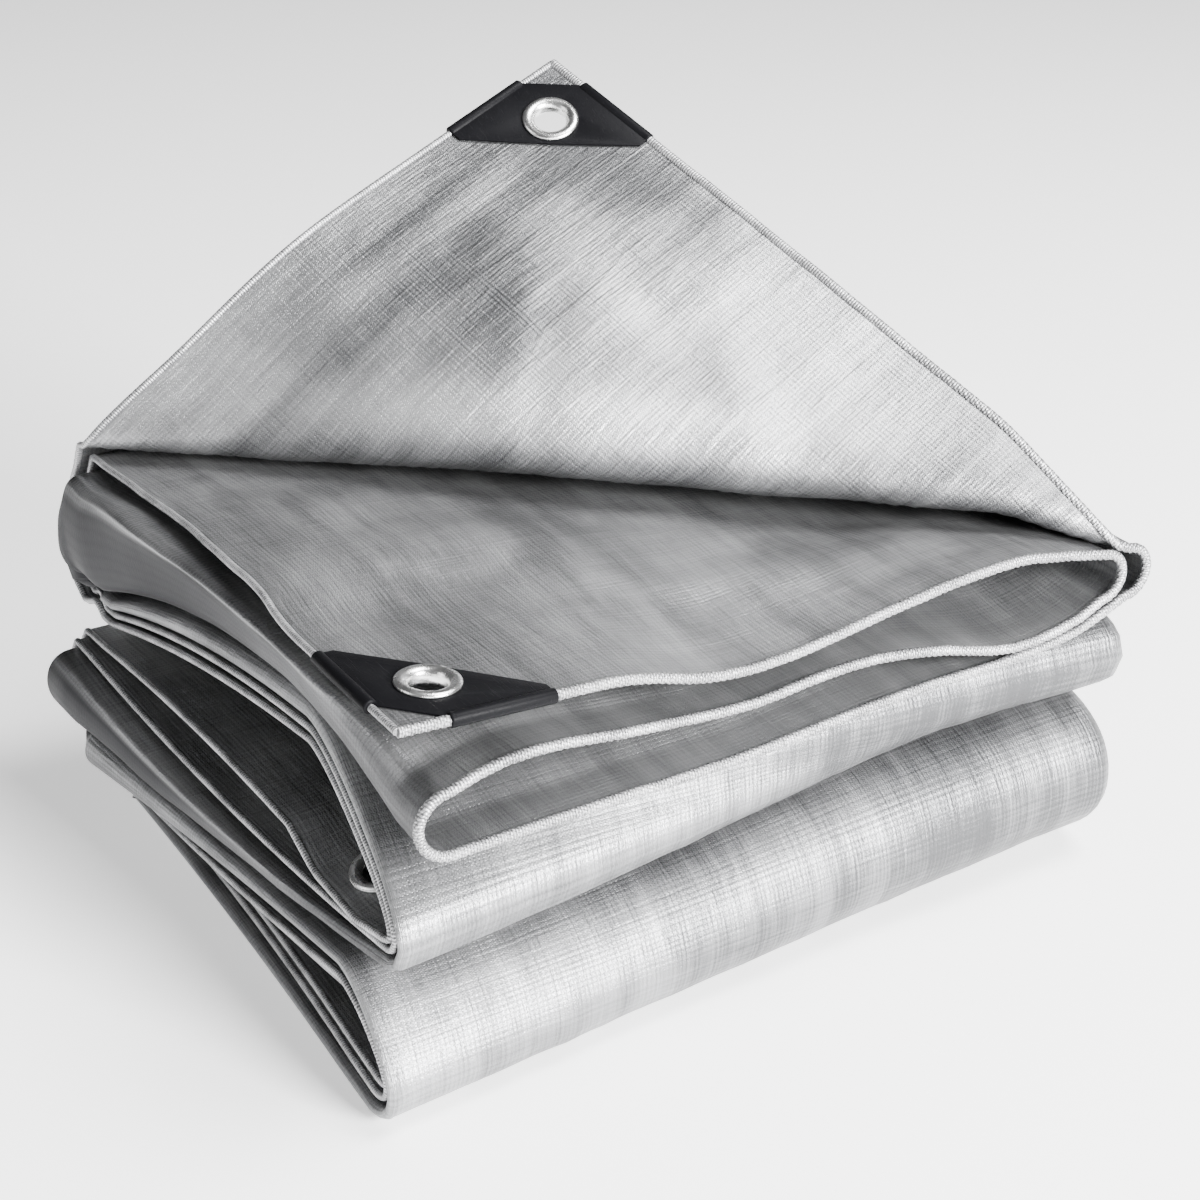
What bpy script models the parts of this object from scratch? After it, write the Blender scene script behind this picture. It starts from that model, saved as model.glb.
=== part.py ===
"""Folded tarp: one reinforced sheet folded four layers wide and five levels high.

The sheet is folded across into a strip of four layers, called A, B, C and D from the top.
The strip is then folded back and forth along Y into five levels.  Layer A of the top level
is turned back over the diagonal, so its corner stands up behind the pile.

Tables are in millimetres, measured from the near bottom corner of the pile, X to the right
along the front, Y to the back, Z up.  The model itself is in metres.
"""
import math

import bmesh
import bpy
from mathutils import Matrix, Vector

MM = 0.001

# Driving dimensions
WIDTH = 340.0
LENGTH = 278.0
CLOTH = 1.5
HEM_THICK = 3.2
HEM_WIDE = 5.0
LAYER_STEP = 4.2
FOLD_DEPTH = 11.0

# The corner turned back: the height it turns at, its angle and the size of its roll
FLAP_HEIGHT = 167.0
FLAP_SLOPE = 0.03
FLAP_DROP = 11.0
FLAP_DROP_FROM = 285.0
FLAP_BOW = 6.0
FLAP_SETTLE = 50.0
STRAIGHT_FROM = 150.0
STRAIGHT_OVER = 100.0
# Columns: share of the diagonal from the right, radius, angle turned
FLAP_ROLL = ((0.0, 4.0, 141), (0.2, 10.0, 141), (0.45, 15.0, 141), (0.62, 15.0, 140),
             (0.85, 10.0, 122), (1.0, 5.0, 110))

# Corner patches and eyelets
CORNER_X = 2.0
PATCH_LEG = 60.0
PATCH_CLIP = 19.0
PATCH_PLATE = 0.8
PATCH_GAP = 0.3
CORNER_CLOTH = 36.0
CORNER_FLAT = 74.0
CORNER_EASE = 46.0
EYELET_INSET = 24.0
EYELET_OUTER = 12.0
EYELET_HOLE = 7.0
EYELET_NECK = 7.6
EYELET_FLANGE = 0.7
CLOTH_HOLE = 8.0
HOLE_CUT = 20.0
EYELET_STEPS = 24
MERGE = 0.00005
PATCH_WALL = 1.0
PATCH_END = 6.0
PATCH_BOW = 33.5
SHEET_KEEP = 0.3

# The eyelet in layer A's side hem, seen inside the middle hollow, and its strip of hem
HEM_EYELET_X = 0.0
HEM_EYELET_Y = 52.0
HEM_EYELET_Z = 69.0
HEM_EYELET_RISE = 16.0
HEM_EYELET_LEAN = 0.07
HEM_EYELET_INSET = 19.0
STRIP_WIDE = 30.0
STRIP_EASE = 22.0

# The height of layer B's flat near corner, and how it falls to the right and rises to the back
NEAR_HEIGHT = 162.2
NEAR_FALL = 0.065
NEAR_RISE = 0.01

# Left end of each layer in each level: how far across it lies, and how high
# Columns: layer, x at the front, middle and back, z at the front, middle and back
LEFT_ENDS = {
    1: (("A", 2, 2, -3, 168, 171, 166),
        ("B", 2, 5, 2, 162, 166, 161),
        ("C", 20, 10, -1, 126, 156, 154),
        ("D", 20, 12, -1, 112, 131, 107)),
    2: (("D", 28, 12, -2, 107, 125.5, 102),
        ("C", 28, 12, -2, 103, 117.5, 98.5),
        ("B", 26, 10, -2, 99, 113, 95),
        ("A", 28, 8, -4, 95, 109, 91.5)),
    3: (("A", 3, -3, -12, 69.5, 84, 87),
        ("B", 3, -6, -17, 65.5, 66.5, 83.5),
        ("C", 4, -9, -19, 61.5, 60, 80),
        ("D", 4, -6, -16, 57.5, 49, 50)),
    4: (("D", -2, -6, -12, 53.5, 44, 43),
        ("C", -3, -6, -12, 50, 37, 24),
        ("B", -5, -6, -8, 46.8, 29, 20),
        ("A", -4, -2, -4, 43.5, 24, 16)),
    5: (("A", -4, 4, 6, 13.2, 13.4, 11.4),
        ("B", -6, 2, 4, 9, 9.2, 7.8),
        ("C", -6, 0, 2, 4.8, 5, 4.2),
        ("D", -6, 0, 2, 0.75, 0.75, 0.75)),
}

# Right end of each layer in each level: how high it lies
# Columns: layer, z at the front, middle and back
RIGHT_ENDS = {
    1: (("A", 148, 153, 152), ("B", 140, 147, 146), ("C", 135, 138, 136), ("D", 129, 126, 124)),
    2: (("D", 114, 116, 116), ("C", 109, 111, 111), ("B", 104, 106, 106), ("A", 99, 100, 100)),
    3: (("A", 92, 92, 92), ("B", 87, 86, 86), ("C", 82, 81, 81), ("D", 76, 76, 76)),
    4: (("D", 71, 71, 70), ("C", 66, 65, 62), ("B", 61, 59, 54), ("A", 56, 51, 44)),
    5: (("A", 22, 24, 26), ("B", 10, 12, 14), ("C", 5, 6, 7), ("D", 0.75, 0.75, 0.75)),
}

# The front hems of the top level: how high each one waves along the front
# Columns: x, height of layers B, C and D
FRONT_HEMS = (
    (0, 162.0, 126, 108), (35, 160.0, 138, 109), (60, 158.2, 139, 109), (97, 153, 134, 109),
    (141, 145, 130, 109), (190, 149, 133, 112), (225, 154, 129, 113), (268, 155, 118, 113),
    (300, 150, 120, 115), (322, 145, 129, 122), (340, 140, 135, 129))
HEM_WAVE_DEPTH = 110.0

# Where the levels end and turn over: Y of the upper and the lower level's end, at the left
# and at the right, how far the innermost layer swings, and the thickness of the four layers
# Columns: upper level, innermost layer, upper left, lower left, upper right, lower right,
# swing left, swing right, bundle left, bundle right, shape
TURNS = (
    (1, "D", 276, 266, 256, 254, 283, 267, 15.0, 13.5, 2.1),
    (2, "A", 98, 20, 36, 36, 3, 14, 9.6, 14.0, 2.1),
    (3, "D", 266, 258, 256, 254, 274, 267, 15.0, 13.5, 2.1),
    (4, "A", 42, 15, 40, 40, 2, 14, 10.0, 14.0, 2.3),
)
LAST_LEVEL_END = 262.0
LAYERS = "ABCD"

# Curves along a side start and end this far from the front and the back
CURVE_END = 20.0

# Folds at the left and right: how far they stand out for their height
FOLD_SHAPE = 0.45
FOLD_LEAST = 1.0
LEFT_FOLD_DEPTH = 15.0

# Grid lines: distances from the left end of layers A and B, shares across C and D, and steps
# along each level and each turn
NEAR_HEM = (0.0, 0.5 * HEM_WIDE, HEM_WIDE + CLOTH, CORNER_CLOTH)
LONG_STEPS = 24
SHORT_STEPS = 9
LEVEL_STEPS = 7
TURN_STEPS = 10
FOLD_STEPS = 6
TOP_STEPS = 24
STRIP_APART = 0.03

# The sheet's pieces: the top level by its layers, then each turn and each level below.  The
# turned corner and the layer with the hem eyelet are pieces too.  Each piece's edge stays
# a little back from the seam, and the turned corner's seam lies on the flat, before its roll.
STRIP_PIECES = {"A": "top_layer", "AD": "top_layer", "D": "lower_layer", "DC": "lower_layer",
                "C": "inner_layer", "CB": "corner_layer", "B": "corner_layer"}
LEVEL_PIECES = {2: "second_level", 3: "third_level", 4: "fourth_level", 5: "bottom_level"}
TURN_PIECES = {1: "upper_back_turn", 2: "upper_front_turn", 3: "lower_back_turn",
               4: "lower_front_turn"}
TURNED_PIECE = "turned_corner"
EYELET_PIECE = "eyelet_layer"
SEAM = 0.3
TURNED_MARGIN = 9.0

# Materials: colour, roughness, metallic
SILVER = ((0.62, 0.63, 0.64), 0.38, 0.75)
BLACK = ((0.025, 0.025, 0.027), 0.42, 0.0)
ALUMINIUM = ((0.86, 0.86, 0.85), 0.28, 1.0)


def ease(value):
    """Smooth step from 0 to 1."""
    value = min(max(value, 0.0), 1.0)
    return value * value * (3.0 - 2.0 * value)


def along(rows, value):
    """Read a table of (position, reading) rows at a position, by straight lines."""
    for (x0, y0), (x1, y1) in zip(rows, rows[1:]):
        if value <= x1:
            share = max(value - x0, 0.0) / (x1 - x0)
            return y0 + (y1 - y0) * share
    return rows[-1][1]


def three(front, middle, back, y):
    """Read the curve through a front, a middle and a back reading at Y."""
    share = min(max((y - CURVE_END) / (LENGTH - 2.0 * CURVE_END), 0.0), 1.0)
    bend = middle - 0.5 * (front + back)
    return front + (back - front) * share + bend * 4.0 * share * (1.0 - share)


def row_of(table, layer):
    return next(row for row in table if row[0] == layer)


def left_end(level, layer, y):
    row = row_of(LEFT_ENDS[level], layer)
    return Vector((three(*row[1:4], y), y, three(*row[4:7], y)))


def right_x(layer):
    """Where a layer ends at the right: B and C turn inside the fold of D and A."""
    return WIDTH - FOLD_DEPTH - (3.0 * LAYER_STEP if layer in "BC" else 0.0)


def right_end(level, layer, y):
    row = row_of(RIGHT_ENDS[level], layer)
    return Vector((right_x(layer), y, three(*row[1:4], y)))


def bent(upper, lower, swing_y, shape, angle):
    """A point part of the way round a turn from the upper to the lower level."""
    across = math.copysign(abs(math.cos(angle)) ** (2.0 / shape), math.cos(angle))
    point = upper.lerp(lower, 0.5 * (1.0 - across))
    ends = (upper.y, lower.y)
    furthest = max(ends) if swing_y > max(ends) else min(ends)
    point.y += abs(math.sin(angle)) ** (2.0 / shape) * (swing_y - furthest)
    return point


def turned_ends(turn, layer, angle):
    """Left and right end of a layer, part of the way round a turn.

    The innermost layer bends round first, and the others lie outside it.
    """
    level, innermost, ul, ll, ur, lr, swing_l, swing_r, bundle_l, bundle_r, shape = turn
    order = abs(LAYERS.index(layer) - LAYERS.index(innermost))
    share = angle / math.pi
    nudge = 0.01
    ends = []
    for end, upper_y, lower_y, swing_y, bundle in ((left_end, ul, ll, swing_l, bundle_l),
                                                   (right_end, ur, lr, swing_r, bundle_r)):
        inner_up, inner_low = end(level, innermost, upper_y), end(level + 1, innermost, lower_y)
        up, low = end(level, layer, upper_y), end(level + 1, layer, lower_y)
        point = bent(inner_up, inner_low, swing_y, shape, angle)
        before = bent(inner_up, inner_low, swing_y, shape, angle - nudge)
        after = bent(inner_up, inner_low, swing_y, shape, angle + nudge)
        run = after - before
        forward = 1.0 if swing_y > upper_y else -1.0
        normal = Vector((0.0, -run.z, run.y)).normalized() * forward
        first, last = up.z - inner_up.z, inner_low.z - low.z
        middle = bundle * order / 3.0
        bend = middle - 0.5 * (first + last)
        out = first + (last - first) * share + bend * 4.0 * share * (1.0 - share)
        point += normal * out
        point.x = up.x + (low.x - up.x) * share
        ends.append(point)
    return ends


def level_shares(level):
    """How far along a lower level its cross lines lie."""
    shares = [k / LEVEL_STEPS for k in range(LEVEL_STEPS + 1)]
    if level == 3:
        start = TURNS[1][3]
        run = TURNS[2][2] - start
        strip = [(HEM_EYELET_Y + k * 0.5 * STRIP_WIDE - start) / run for k in (-1, 0, 1)]
        shares = sorted([q for q in shares if min(abs(q - p) for p in strip) > STRIP_APART]
                        + strip)
    return shares


def stations():
    """Every cross line of the strip, from its front hem to its last hem.

    Each is a place: the level, the turn or None, and how far along it lies.
    """
    places = []
    front = [y / TURNS[0][2] for y in NEAR_HEM]
    rest = [front[-1] + (1.0 - front[-1]) * k / TOP_STEPS for k in range(1, TOP_STEPS + 1)]
    places += [(1, None, share) for share in front + rest]
    for turn in TURNS:
        places += [(turn[0], turn, math.pi * k / TURN_STEPS) for k in range(1, TURN_STEPS)]
        places += [(turn[0] + 1, None, share) for share in level_shares(turn[0] + 1)]
    return places


def ends_at(place, layer):
    """Left and right end of a layer at one cross line."""
    level, turn, share = place
    if turn:
        return turned_ends(turn, layer, share)
    if level == 1:
        start = (0.0, 0.0)
    else:
        start = (TURNS[level - 2][3], TURNS[level - 2][5])
    if level == 5:
        finish = (LAST_LEVEL_END, LAST_LEVEL_END)
    else:
        finish = (TURNS[level - 1][2], TURNS[level - 1][4])
    ys = [a + (b - a) * share for a, b in zip(start, finish)]
    return left_end(level, layer, ys[0]), right_end(level, layer, ys[1])


def frame_on(origin, toward_s, toward_t):
    """A flat frame at a corner: S and T run along its two hems, the third way is up."""
    along_s = (toward_s - origin).normalized()
    up = along_s.cross(toward_t - origin).normalized()
    along_t = up.cross(along_s)
    frame = Matrix((along_s, along_t, up)).transposed().to_4x4()
    frame.translation = origin
    return frame


def corner_frame(layer):
    """The flat frame of a patched corner, with the corner's tip at its origin."""
    tips = [Vector((CORNER_X + s, t, 0.0)) for s, t in ((0.0, 0.0), (PATCH_LEG, 0.0),
                                                        (0.0, PATCH_LEG))]
    for tip in tips:
        tip.z = flap_height(tip.x, tip.y) if layer == "A" else near_height(tip.x, tip.y)
    if layer == "A":
        tips = [fold_back(tip) for tip in tips]
    return frame_on(*tips)


def hem_frame():
    """The flat frame of the hem eyelet inside the middle hollow, centred on its strip."""
    origin = Vector((HEM_EYELET_X, HEM_EYELET_Y, HEM_EYELET_Z))
    rise = math.radians(HEM_EYELET_RISE)
    toward_s = origin + Vector((math.cos(rise), 0.0, math.sin(rise)))
    return frame_on(origin, toward_s, origin + Vector((0.0, 1.0, HEM_EYELET_LEAN)))


def near_height(x, y):
    """Height of layer B's flat near corner."""
    return NEAR_HEIGHT - NEAR_FALL * x + NEAR_RISE * y


def flattened(point, frame, s, t, outside, easing):
    """Draw a point onto a flat frame, wholly up to its edge and less and less outside it."""
    weight = 1.0 - ease(outside / easing)
    if weight <= 0.0:
        return point
    return point.lerp(frame @ Vector((s, t, 0.0)), weight)


def flap_height(x, y):
    """Height of the top layer where the corner lay before it was turned back."""
    drop = ease((x - FLAP_DROP_FROM) / (WIDTH - FOLD_DEPTH - FLAP_DROP_FROM))
    return FLAP_HEIGHT - FLAP_SLOPE * x - FLAP_DROP * drop


def beyond_diagonal(point):
    """How far along the diagonal a point lies, how far before it, and the way there."""
    right = Vector((WIDTH - FOLD_DEPTH, 0.0, 0.0))
    left = Vector((LEFT_ENDS[1][0][3], TURNS[0][2], 0.0))
    run = left - right
    outward = Vector((-abs(run.y), -abs(run.x), 0.0)).normalized()
    offset = point - right
    share = offset.dot(run) / run.length_squared
    bow = FLAP_BOW * math.sin(math.pi * min(max(share, 0.0), 1.0))
    return share, offset.dot(outward) + bow, outward


def fold_back(point):
    """Turn the near side of the top layer back over the diagonal."""
    share, distance, outward = beyond_diagonal(point)
    plane = flap_height(point.x, point.y)
    base = point.copy()
    base.z = plane + (point.z - plane) * ease(-distance / FLAP_SETTLE)
    if distance <= 0.0:
        return base
    radius = along([(row[0], row[1]) for row in FLAP_ROLL], share)
    angle = math.radians(along([(row[0], row[2]) for row in FLAP_ROLL], share))
    turned = min(distance / radius, angle)
    rest = max(distance - radius * angle, 0.0)
    out = radius * math.sin(turned) + rest * math.cos(turned)
    up = radius * (1.0 - math.cos(turned)) + rest * math.sin(turned)
    foot = base - outward * distance
    foot.z = flap_height(foot.x, foot.y)
    return foot + outward * out + Vector((0.0, 0.0, up))


def straightened(point, left, s):
    """A point of the top layer with its hem drawn straight towards the front."""
    base = Vector((CORNER_X + s, left.y, point.z))
    return point.lerp(base, 1.0 - ease((left.y - STRAIGHT_FROM) / STRAIGHT_OVER))


def layer_point(place, layer, u):
    """A point of a layer: u runs from its left end, 0, to its right end, 1."""
    left, right = ends_at(place, layer)
    point = left.lerp(right, u)
    point.z = left.z + (right.z - left.z) * ease(u)
    level, turn, share = place
    if level == 1 and not turn:
        if layer in "BCD":
            start = layer_start_height(layer, u)
            wave = along([(row[0], row[1 + "BCD".index(layer)]) for row in FRONT_HEMS], point.x)
            point.z += (wave - start) * (1.0 - ease(point.y / HEM_WAVE_DEPTH))
        s = u * (right.x - left.x)
        if layer == "A":
            point = fold_back(straightened(point, left, s))
        if layer in "AB":
            edge = max(s, left.y) - CORNER_FLAT
            point = flattened(point, FRAMES[layer], s, left.y, edge, CORNER_EASE)
    if level == 3 and not turn and layer == "A":
        s = u * (right.x - left.x)
        t = left.y - HEM_EYELET_Y
        edge = max(s - CORNER_CLOTH, abs(t) - 0.5 * STRIP_WIDE)
        point = flattened(point, FRAMES["hem"], s, t, edge, STRIP_EASE)
    return point


def layer_start_height(layer, u):
    """Height of a top layer at the front before its hem waves."""
    left = left_end(1, layer, 0.0)
    right = right_end(1, layer, 0.0)
    return left.z + (right.z - left.z) * ease(u)


def fold_point(place, first, second, side, angle):
    """A point on the fold that joins two layers at their left or right ends."""
    a = layer_point(place, first, 0.0 if side < 0 else 1.0)
    b = layer_point(place, second, 0.0 if side < 0 else 1.0)
    depth = FOLD_SHAPE * (a - b).length + FOLD_LEAST
    depth = min(depth, FOLD_DEPTH if side > 0 else LEFT_FOLD_DEPTH)
    middle = (a + b) * 0.5
    half = (a - b) * 0.5
    return middle + half * math.cos(angle) + Vector((side * depth * math.sin(angle), 0.0, 0.0))


def cross_line():
    """The places across the strip, from layer A's hem through the folds to layer B's hem."""
    shares = {}
    for layer, steps in (("A", LONG_STEPS), ("B", LONG_STEPS // 2)):
        near = [s / (right_x(layer) - CORNER_X) for s in NEAR_HEM]
        far = [near[-1] + (1.0 - near[-1]) * k / steps for k in range(1, steps + 1)]
        shares[layer] = near + far
    short = [k / SHORT_STEPS for k in range(SHORT_STEPS + 1)]
    bends = [math.pi * k / FOLD_STEPS for k in range(1, FOLD_STEPS)]
    line = [("A", u) for u in shares["A"]]
    line += [("AD", 1, bend) for bend in bends]
    line += [("D", u) for u in reversed(short)]
    line += [("DC", -1, bend) for bend in bends]
    line += [("C", u) for u in short]
    line += [("CB", 1, bend) for bend in bends]
    line += [("B", u) for u in reversed(shares["B"])]
    return line


def sheet_points():
    """Rows of points over the whole folded sheet."""
    rows = []
    line = cross_line()
    for place in stations():
        row = []
        for spot in line:
            if len(spot) == 2:
                row.append(layer_point(place, *spot))
            else:
                row.append(fold_point(place, spot[0][0], spot[0][1], spot[1], spot[2]))
        rows.append(row)
    return rows


def clear_scene():
    for item in list(bpy.data.objects):
        bpy.data.objects.remove(item, do_unlink=True)


def collection(name):
    group = bpy.data.collections.new(name)
    bpy.context.scene.collection.children.link(group)
    return group


def principled(name, look):
    colour, roughness, metallic = look
    material = bpy.data.materials.new(name)
    material.use_nodes = True
    shader = material.node_tree.nodes["Principled BSDF"]
    shader.inputs["Base Color"].default_value = (*colour, 1.0)
    shader.inputs["Roughness"].default_value = roughness
    shader.inputs["Metallic"].default_value = metallic
    return material


def new_object(name, bm, material, group):
    mesh = bpy.data.meshes.new(name)
    bm.to_mesh(mesh)
    bm.free()
    mesh.materials.append(material)
    item = bpy.data.objects.new(name, mesh)
    group.objects.link(item)
    return item


def to_model(point):
    """Table millimetres to the model's metres, with the origin under the pile's middle."""
    return Vector(((point.x - 0.5 * WIDTH) * MM, (point.y - 0.5 * LENGTH) * MM, point.z * MM))


def notch_cells(line, places):
    """Cells of the grid where a patched corner or an eyelet's strip is a piece of its own."""
    square = len(NEAR_HEM) - 1
    cells = {(row, column) for row in range(square) for column in range(square)}
    last = len(line) - 2
    cells |= {(row, last - column) for row in range(square) for column in range(square)}
    for row, place in enumerate(places[:-1]):
        if place[0] == 3 and not place[1]:
            middle = 0.5 * (ends_at(place, "A")[0].y + ends_at(places[row + 1], "A")[0].y)
            if abs(middle - HEM_EYELET_Y) < 0.5 * STRIP_WIDE:
                cells |= {(row, column) for column in range(square)}
    return cells


def under_patch(place, spot, reach):
    """Whether a place on the sheet lies within reach of a patched corner."""
    if place[0] != 1 or place[1] or spot[0] not in ("A", "B"):
        return False
    across = spot[1] * (right_x(spot[0]) - CORNER_X)
    return max(across, ends_at(place, spot[0])[0].y) < reach


def hem_weight(row, column, places, line):
    """Whether a grid point lies in a hem, which is thicker than the cloth."""
    place, spot = places[row], line[column]
    if under_patch(place, spot, CORNER_FLAT):
        return 0.0
    side = min(column, len(line) - 1 - column) <= 1
    if place[0] == 3 and spot[0] == "A":
        along_y = ends_at(place, "A")[0].y
        side = side and abs(along_y - HEM_EYELET_Y) > 0.5 * STRIP_WIDE + STRIP_EASE
    return float(row <= 1 or side)


def turned_cell(row, column, places, line):
    """Whether a cell of the top layer lies in the corner that is turned back."""
    middle = Vector()
    for place, spot in ((places[row], line[column]), (places[row + 1], line[column + 1])):
        left, right = ends_at(place, "A")
        point = left.lerp(right, spot[1])
        middle += 0.5 * straightened(point, left, spot[1] * (right.x - left.x))
    return beyond_diagonal(middle)[1] > -TURNED_MARGIN


def piece_name(row, column, places, line):
    """The piece of the sheet that a cell of the grid belongs to."""
    for place in places[row:row + 2]:
        if place[1]:
            return TURN_PIECES[place[0]]
    folds = [spot[0] for spot in line[column:column + 2] if len(spot) == 3]
    strip = folds[0] if folds else line[column][0]
    level = places[row][0]
    if level == 1:
        turned = strip == "A" and turned_cell(row, column, places, line)
        return TURNED_PIECE if turned else STRIP_PIECES[strip]
    if level == 3 and strip == "A":
        return EYELET_PIECE
    return LEVEL_PIECES[level]


def thinned_sheet(names):
    """The folded sheet as a surface with fewer faces, which know the pieces they belong to.

    The patched corners and the hem eyelet's strip are left out of it.
    """
    rows = sheet_points()
    line = cross_line()
    places = stations()
    left_out = notch_cells(line, places)
    bm = bmesh.new()
    layer = bm.verts.layers.deform.verify()
    piece = bm.faces.layers.int.new("piece")
    grid = [[bm.verts.new(to_model(point)) for point in row] for row in rows]
    for i in range(len(rows) - 1):
        for j in range(len(line) - 1):
            if (i, j) in left_out:
                continue
            a, b, c, d = grid[i][j], grid[i][j + 1], grid[i + 1][j + 1], grid[i + 1][j]
            for corners in ((a, b, d), (b, c, d)):
                bm.faces.new(corners)[piece] = names.index(piece_name(i, j, places, line))
    for i, row in enumerate(grid):
        for j, vert in enumerate(row):
            vert[layer][0] = hem_weight(i, j, places, line)
            vert[layer][1] = float(not under_patch(places[i], line[j], CORNER_FLAT + LAYER_STEP))
    loose = [v for v in bm.verts if not v.link_faces]
    bmesh.ops.delete(bm, geom=loose, context="VERTS")
    bmesh.ops.recalc_face_normals(bm, faces=bm.faces)
    for edge in bm.edges:
        if len({face[piece] for face in edge.link_faces}) > 1 or edge.is_boundary:
            for vert in edge.verts:
                vert[layer][1] = 0.0
    mesh = bpy.data.meshes.new("sheet")
    bm.to_mesh(mesh)
    bm.free()
    sheet = bpy.data.objects.new("sheet", mesh)
    bpy.context.scene.collection.objects.link(sheet)
    sheet.vertex_groups.new(name="hem")
    sheet.vertex_groups.new(name="inside")
    thin = sheet.modifiers.new("Fewer faces", "DECIMATE")
    thin.decimate_type = "COLLAPSE"
    thin.ratio = SHEET_KEEP
    thin.vertex_group = "inside"
    thin.vertex_group_factor = 1.0
    read = bpy.context.evaluated_depsgraph_get()
    surface = bpy.data.meshes.new_from_object(sheet.evaluated_get(read), depsgraph=read)
    bpy.data.objects.remove(sheet, do_unlink=True)
    return surface


def directed_edges(faces):
    """Each face's edges, as pairs of points in the order that goes round it."""
    return {pair for face in faces for pair in zip(face, face[1:] + face[:1])}


def build_wall(name, surface, faces, every_edge, material, group):
    """One piece of the sheet: a wall of cloth that is closed round its edge."""
    edges = directed_edges(faces)
    rim = [(a, b) for a, b in edges if (b, a) not in edges]
    inward = {}
    for a, b in rim:
        if (b, a) in every_edge:
            run = surface.vertices[b].co - surface.vertices[a].co
            for point in (a, b):
                side = surface.vertices[point].normal.cross(run).normalized()
                inward.setdefault(point, []).append(side)
    bm = bmesh.new()
    sides = {}
    for point in sorted({point for face in faces for point in face}):
        vert = surface.vertices[point]
        place = vert.co.copy()
        if point in inward:
            way = sum(inward[point], Vector()).normalized()
            place += way * SEAM * MM / max(way.dot(inward[point][0]), 0.5)
        weight = sum(item.weight for item in vert.groups if item.group == 0)
        half = 0.5 * (CLOTH + (HEM_THICK - CLOTH) * weight) * MM
        sides[point] = (bm.verts.new(place + vert.normal * half),
                        bm.verts.new(place - vert.normal * half))
    for face in faces:
        bm.faces.new([sides[point][0] for point in face])
        bm.faces.new([sides[point][1] for point in reversed(face)])
    for a, b in sorted(rim):
        bm.faces.new((sides[b][0], sides[a][0], sides[a][1], sides[b][1]))
    return new_object(name, bm, material, group)


def build_sheet(material, group):
    """The folded sheet, piece by piece."""
    names = sorted({TURNED_PIECE, EYELET_PIECE, *STRIP_PIECES.values(), *LEVEL_PIECES.values(),
                    *TURN_PIECES.values()})
    surface = thinned_sheet(names)
    marks = surface.attributes["piece"].data
    faces = {name: [] for name in names}
    for face in surface.polygons:
        faces[names[marks[face.index].value]].append(tuple(face.vertices))
    every_edge = directed_edges([face for group_faces in faces.values() for face in group_faces])
    for name in names:
        build_wall(name, surface, faces[name], every_edge, material, group)


def local_box(low, high):
    """A box between two corners, as a mesh."""
    bm = bmesh.new()
    size = [h - l for l, h in zip(low, high)]
    middle = [0.5 * (h + l) for l, h in zip(low, high)]
    place = Matrix.Translation(Vector(middle) * MM) @ Matrix.Diagonal((*[v * MM for v in size], 1))
    bmesh.ops.create_cube(bm, size=1.0, matrix=place)
    return bm


def prism(outline, low, high):
    """A flat outline drawn up from one height to another, as a mesh."""
    bm = bmesh.new()
    base = [bm.verts.new((s * MM, t * MM, low * MM)) for s, t in outline]
    face = bm.faces.new(base)
    grown = bmesh.ops.extrude_face_region(bm, geom=[face])
    moved = [item for item in grown["geom"] if isinstance(item, bmesh.types.BMVert)]
    bmesh.ops.translate(bm, verts=moved, vec=(0.0, 0.0, (high - low) * MM))
    bmesh.ops.recalc_face_normals(bm, faces=bm.faces)
    return bm


def placed(item, frame):
    """Put a piece made about its own frame where that frame lies in the model."""
    move = frame.copy()
    move.translation = to_model(frame.translation)
    item.matrix_world = move


def cut(item, cutter_mesh, frame, cutters, name):
    """Cut a shape out of a piece."""
    cutter = bpy.data.objects.new(name, bpy.data.meshes.new(name))
    cutter_mesh.to_mesh(cutter.data)
    cutter_mesh.free()
    cutters.objects.link(cutter)
    placed(cutter, frame)
    cutter.hide_render = True
    cutter.display_type = "WIRE"
    tool = item.modifiers.new(name, "BOOLEAN")
    tool.operation = "DIFFERENCE"
    tool.object = cutter


def hole_mesh(s, t, radius):
    """A round cutter that stands across the cloth."""
    bm = bmesh.new()
    place = Matrix.Translation(Vector((s, t, 0.0)) * MM)
    bmesh.ops.create_cone(bm, cap_ends=True, segments=EYELET_STEPS, radius1=radius * MM,
                          radius2=radius * MM, depth=HOLE_CUT * MM, matrix=place)
    return bm


def build_patch(name, frame, material, group, cutters):
    """A moulded corner patch: two plates joined along both hems, over the cloth."""
    out = PATCH_GAP + PATCH_WALL
    thick = 0.5 * CLOTH + PATCH_GAP + PATCH_PLATE
    end = PATCH_END
    outline = ((PATCH_CLIP, -out), (PATCH_LEG, -out), (PATCH_LEG, end), (PATCH_BOW, PATCH_BOW),
               (end, PATCH_LEG), (-out, PATCH_LEG), (-out, PATCH_CLIP))
    patch = new_object(name, prism(outline, -thick, thick), material, group)
    placed(patch, frame)
    slot = 0.5 * CLOTH + PATCH_GAP
    far = 2.0 * PATCH_LEG
    slot_mesh = local_box((-PATCH_GAP, -PATCH_GAP, -slot), (far, far, slot))
    cut(patch, slot_mesh, frame, cutters, name + "_slot")
    cut(patch, hole_mesh(EYELET_INSET, EYELET_INSET, CLOTH_HOLE), frame, cutters, name + "_hole")
    return patch


def build_cloth_piece(name, low, high, hole, frame, material, group, cutters):
    """A flat piece of the cloth that holds an eyelet."""
    half = 0.5 * CLOTH
    bm = local_box((low[0], low[1], -half), (high[0], high[1], half))
    piece = new_object(name, bm, material, group)
    placed(piece, frame)
    cut(piece, hole_mesh(hole[0], hole[1], CLOTH_HOLE), frame, cutters, name + "_hole")
    return piece


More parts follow.
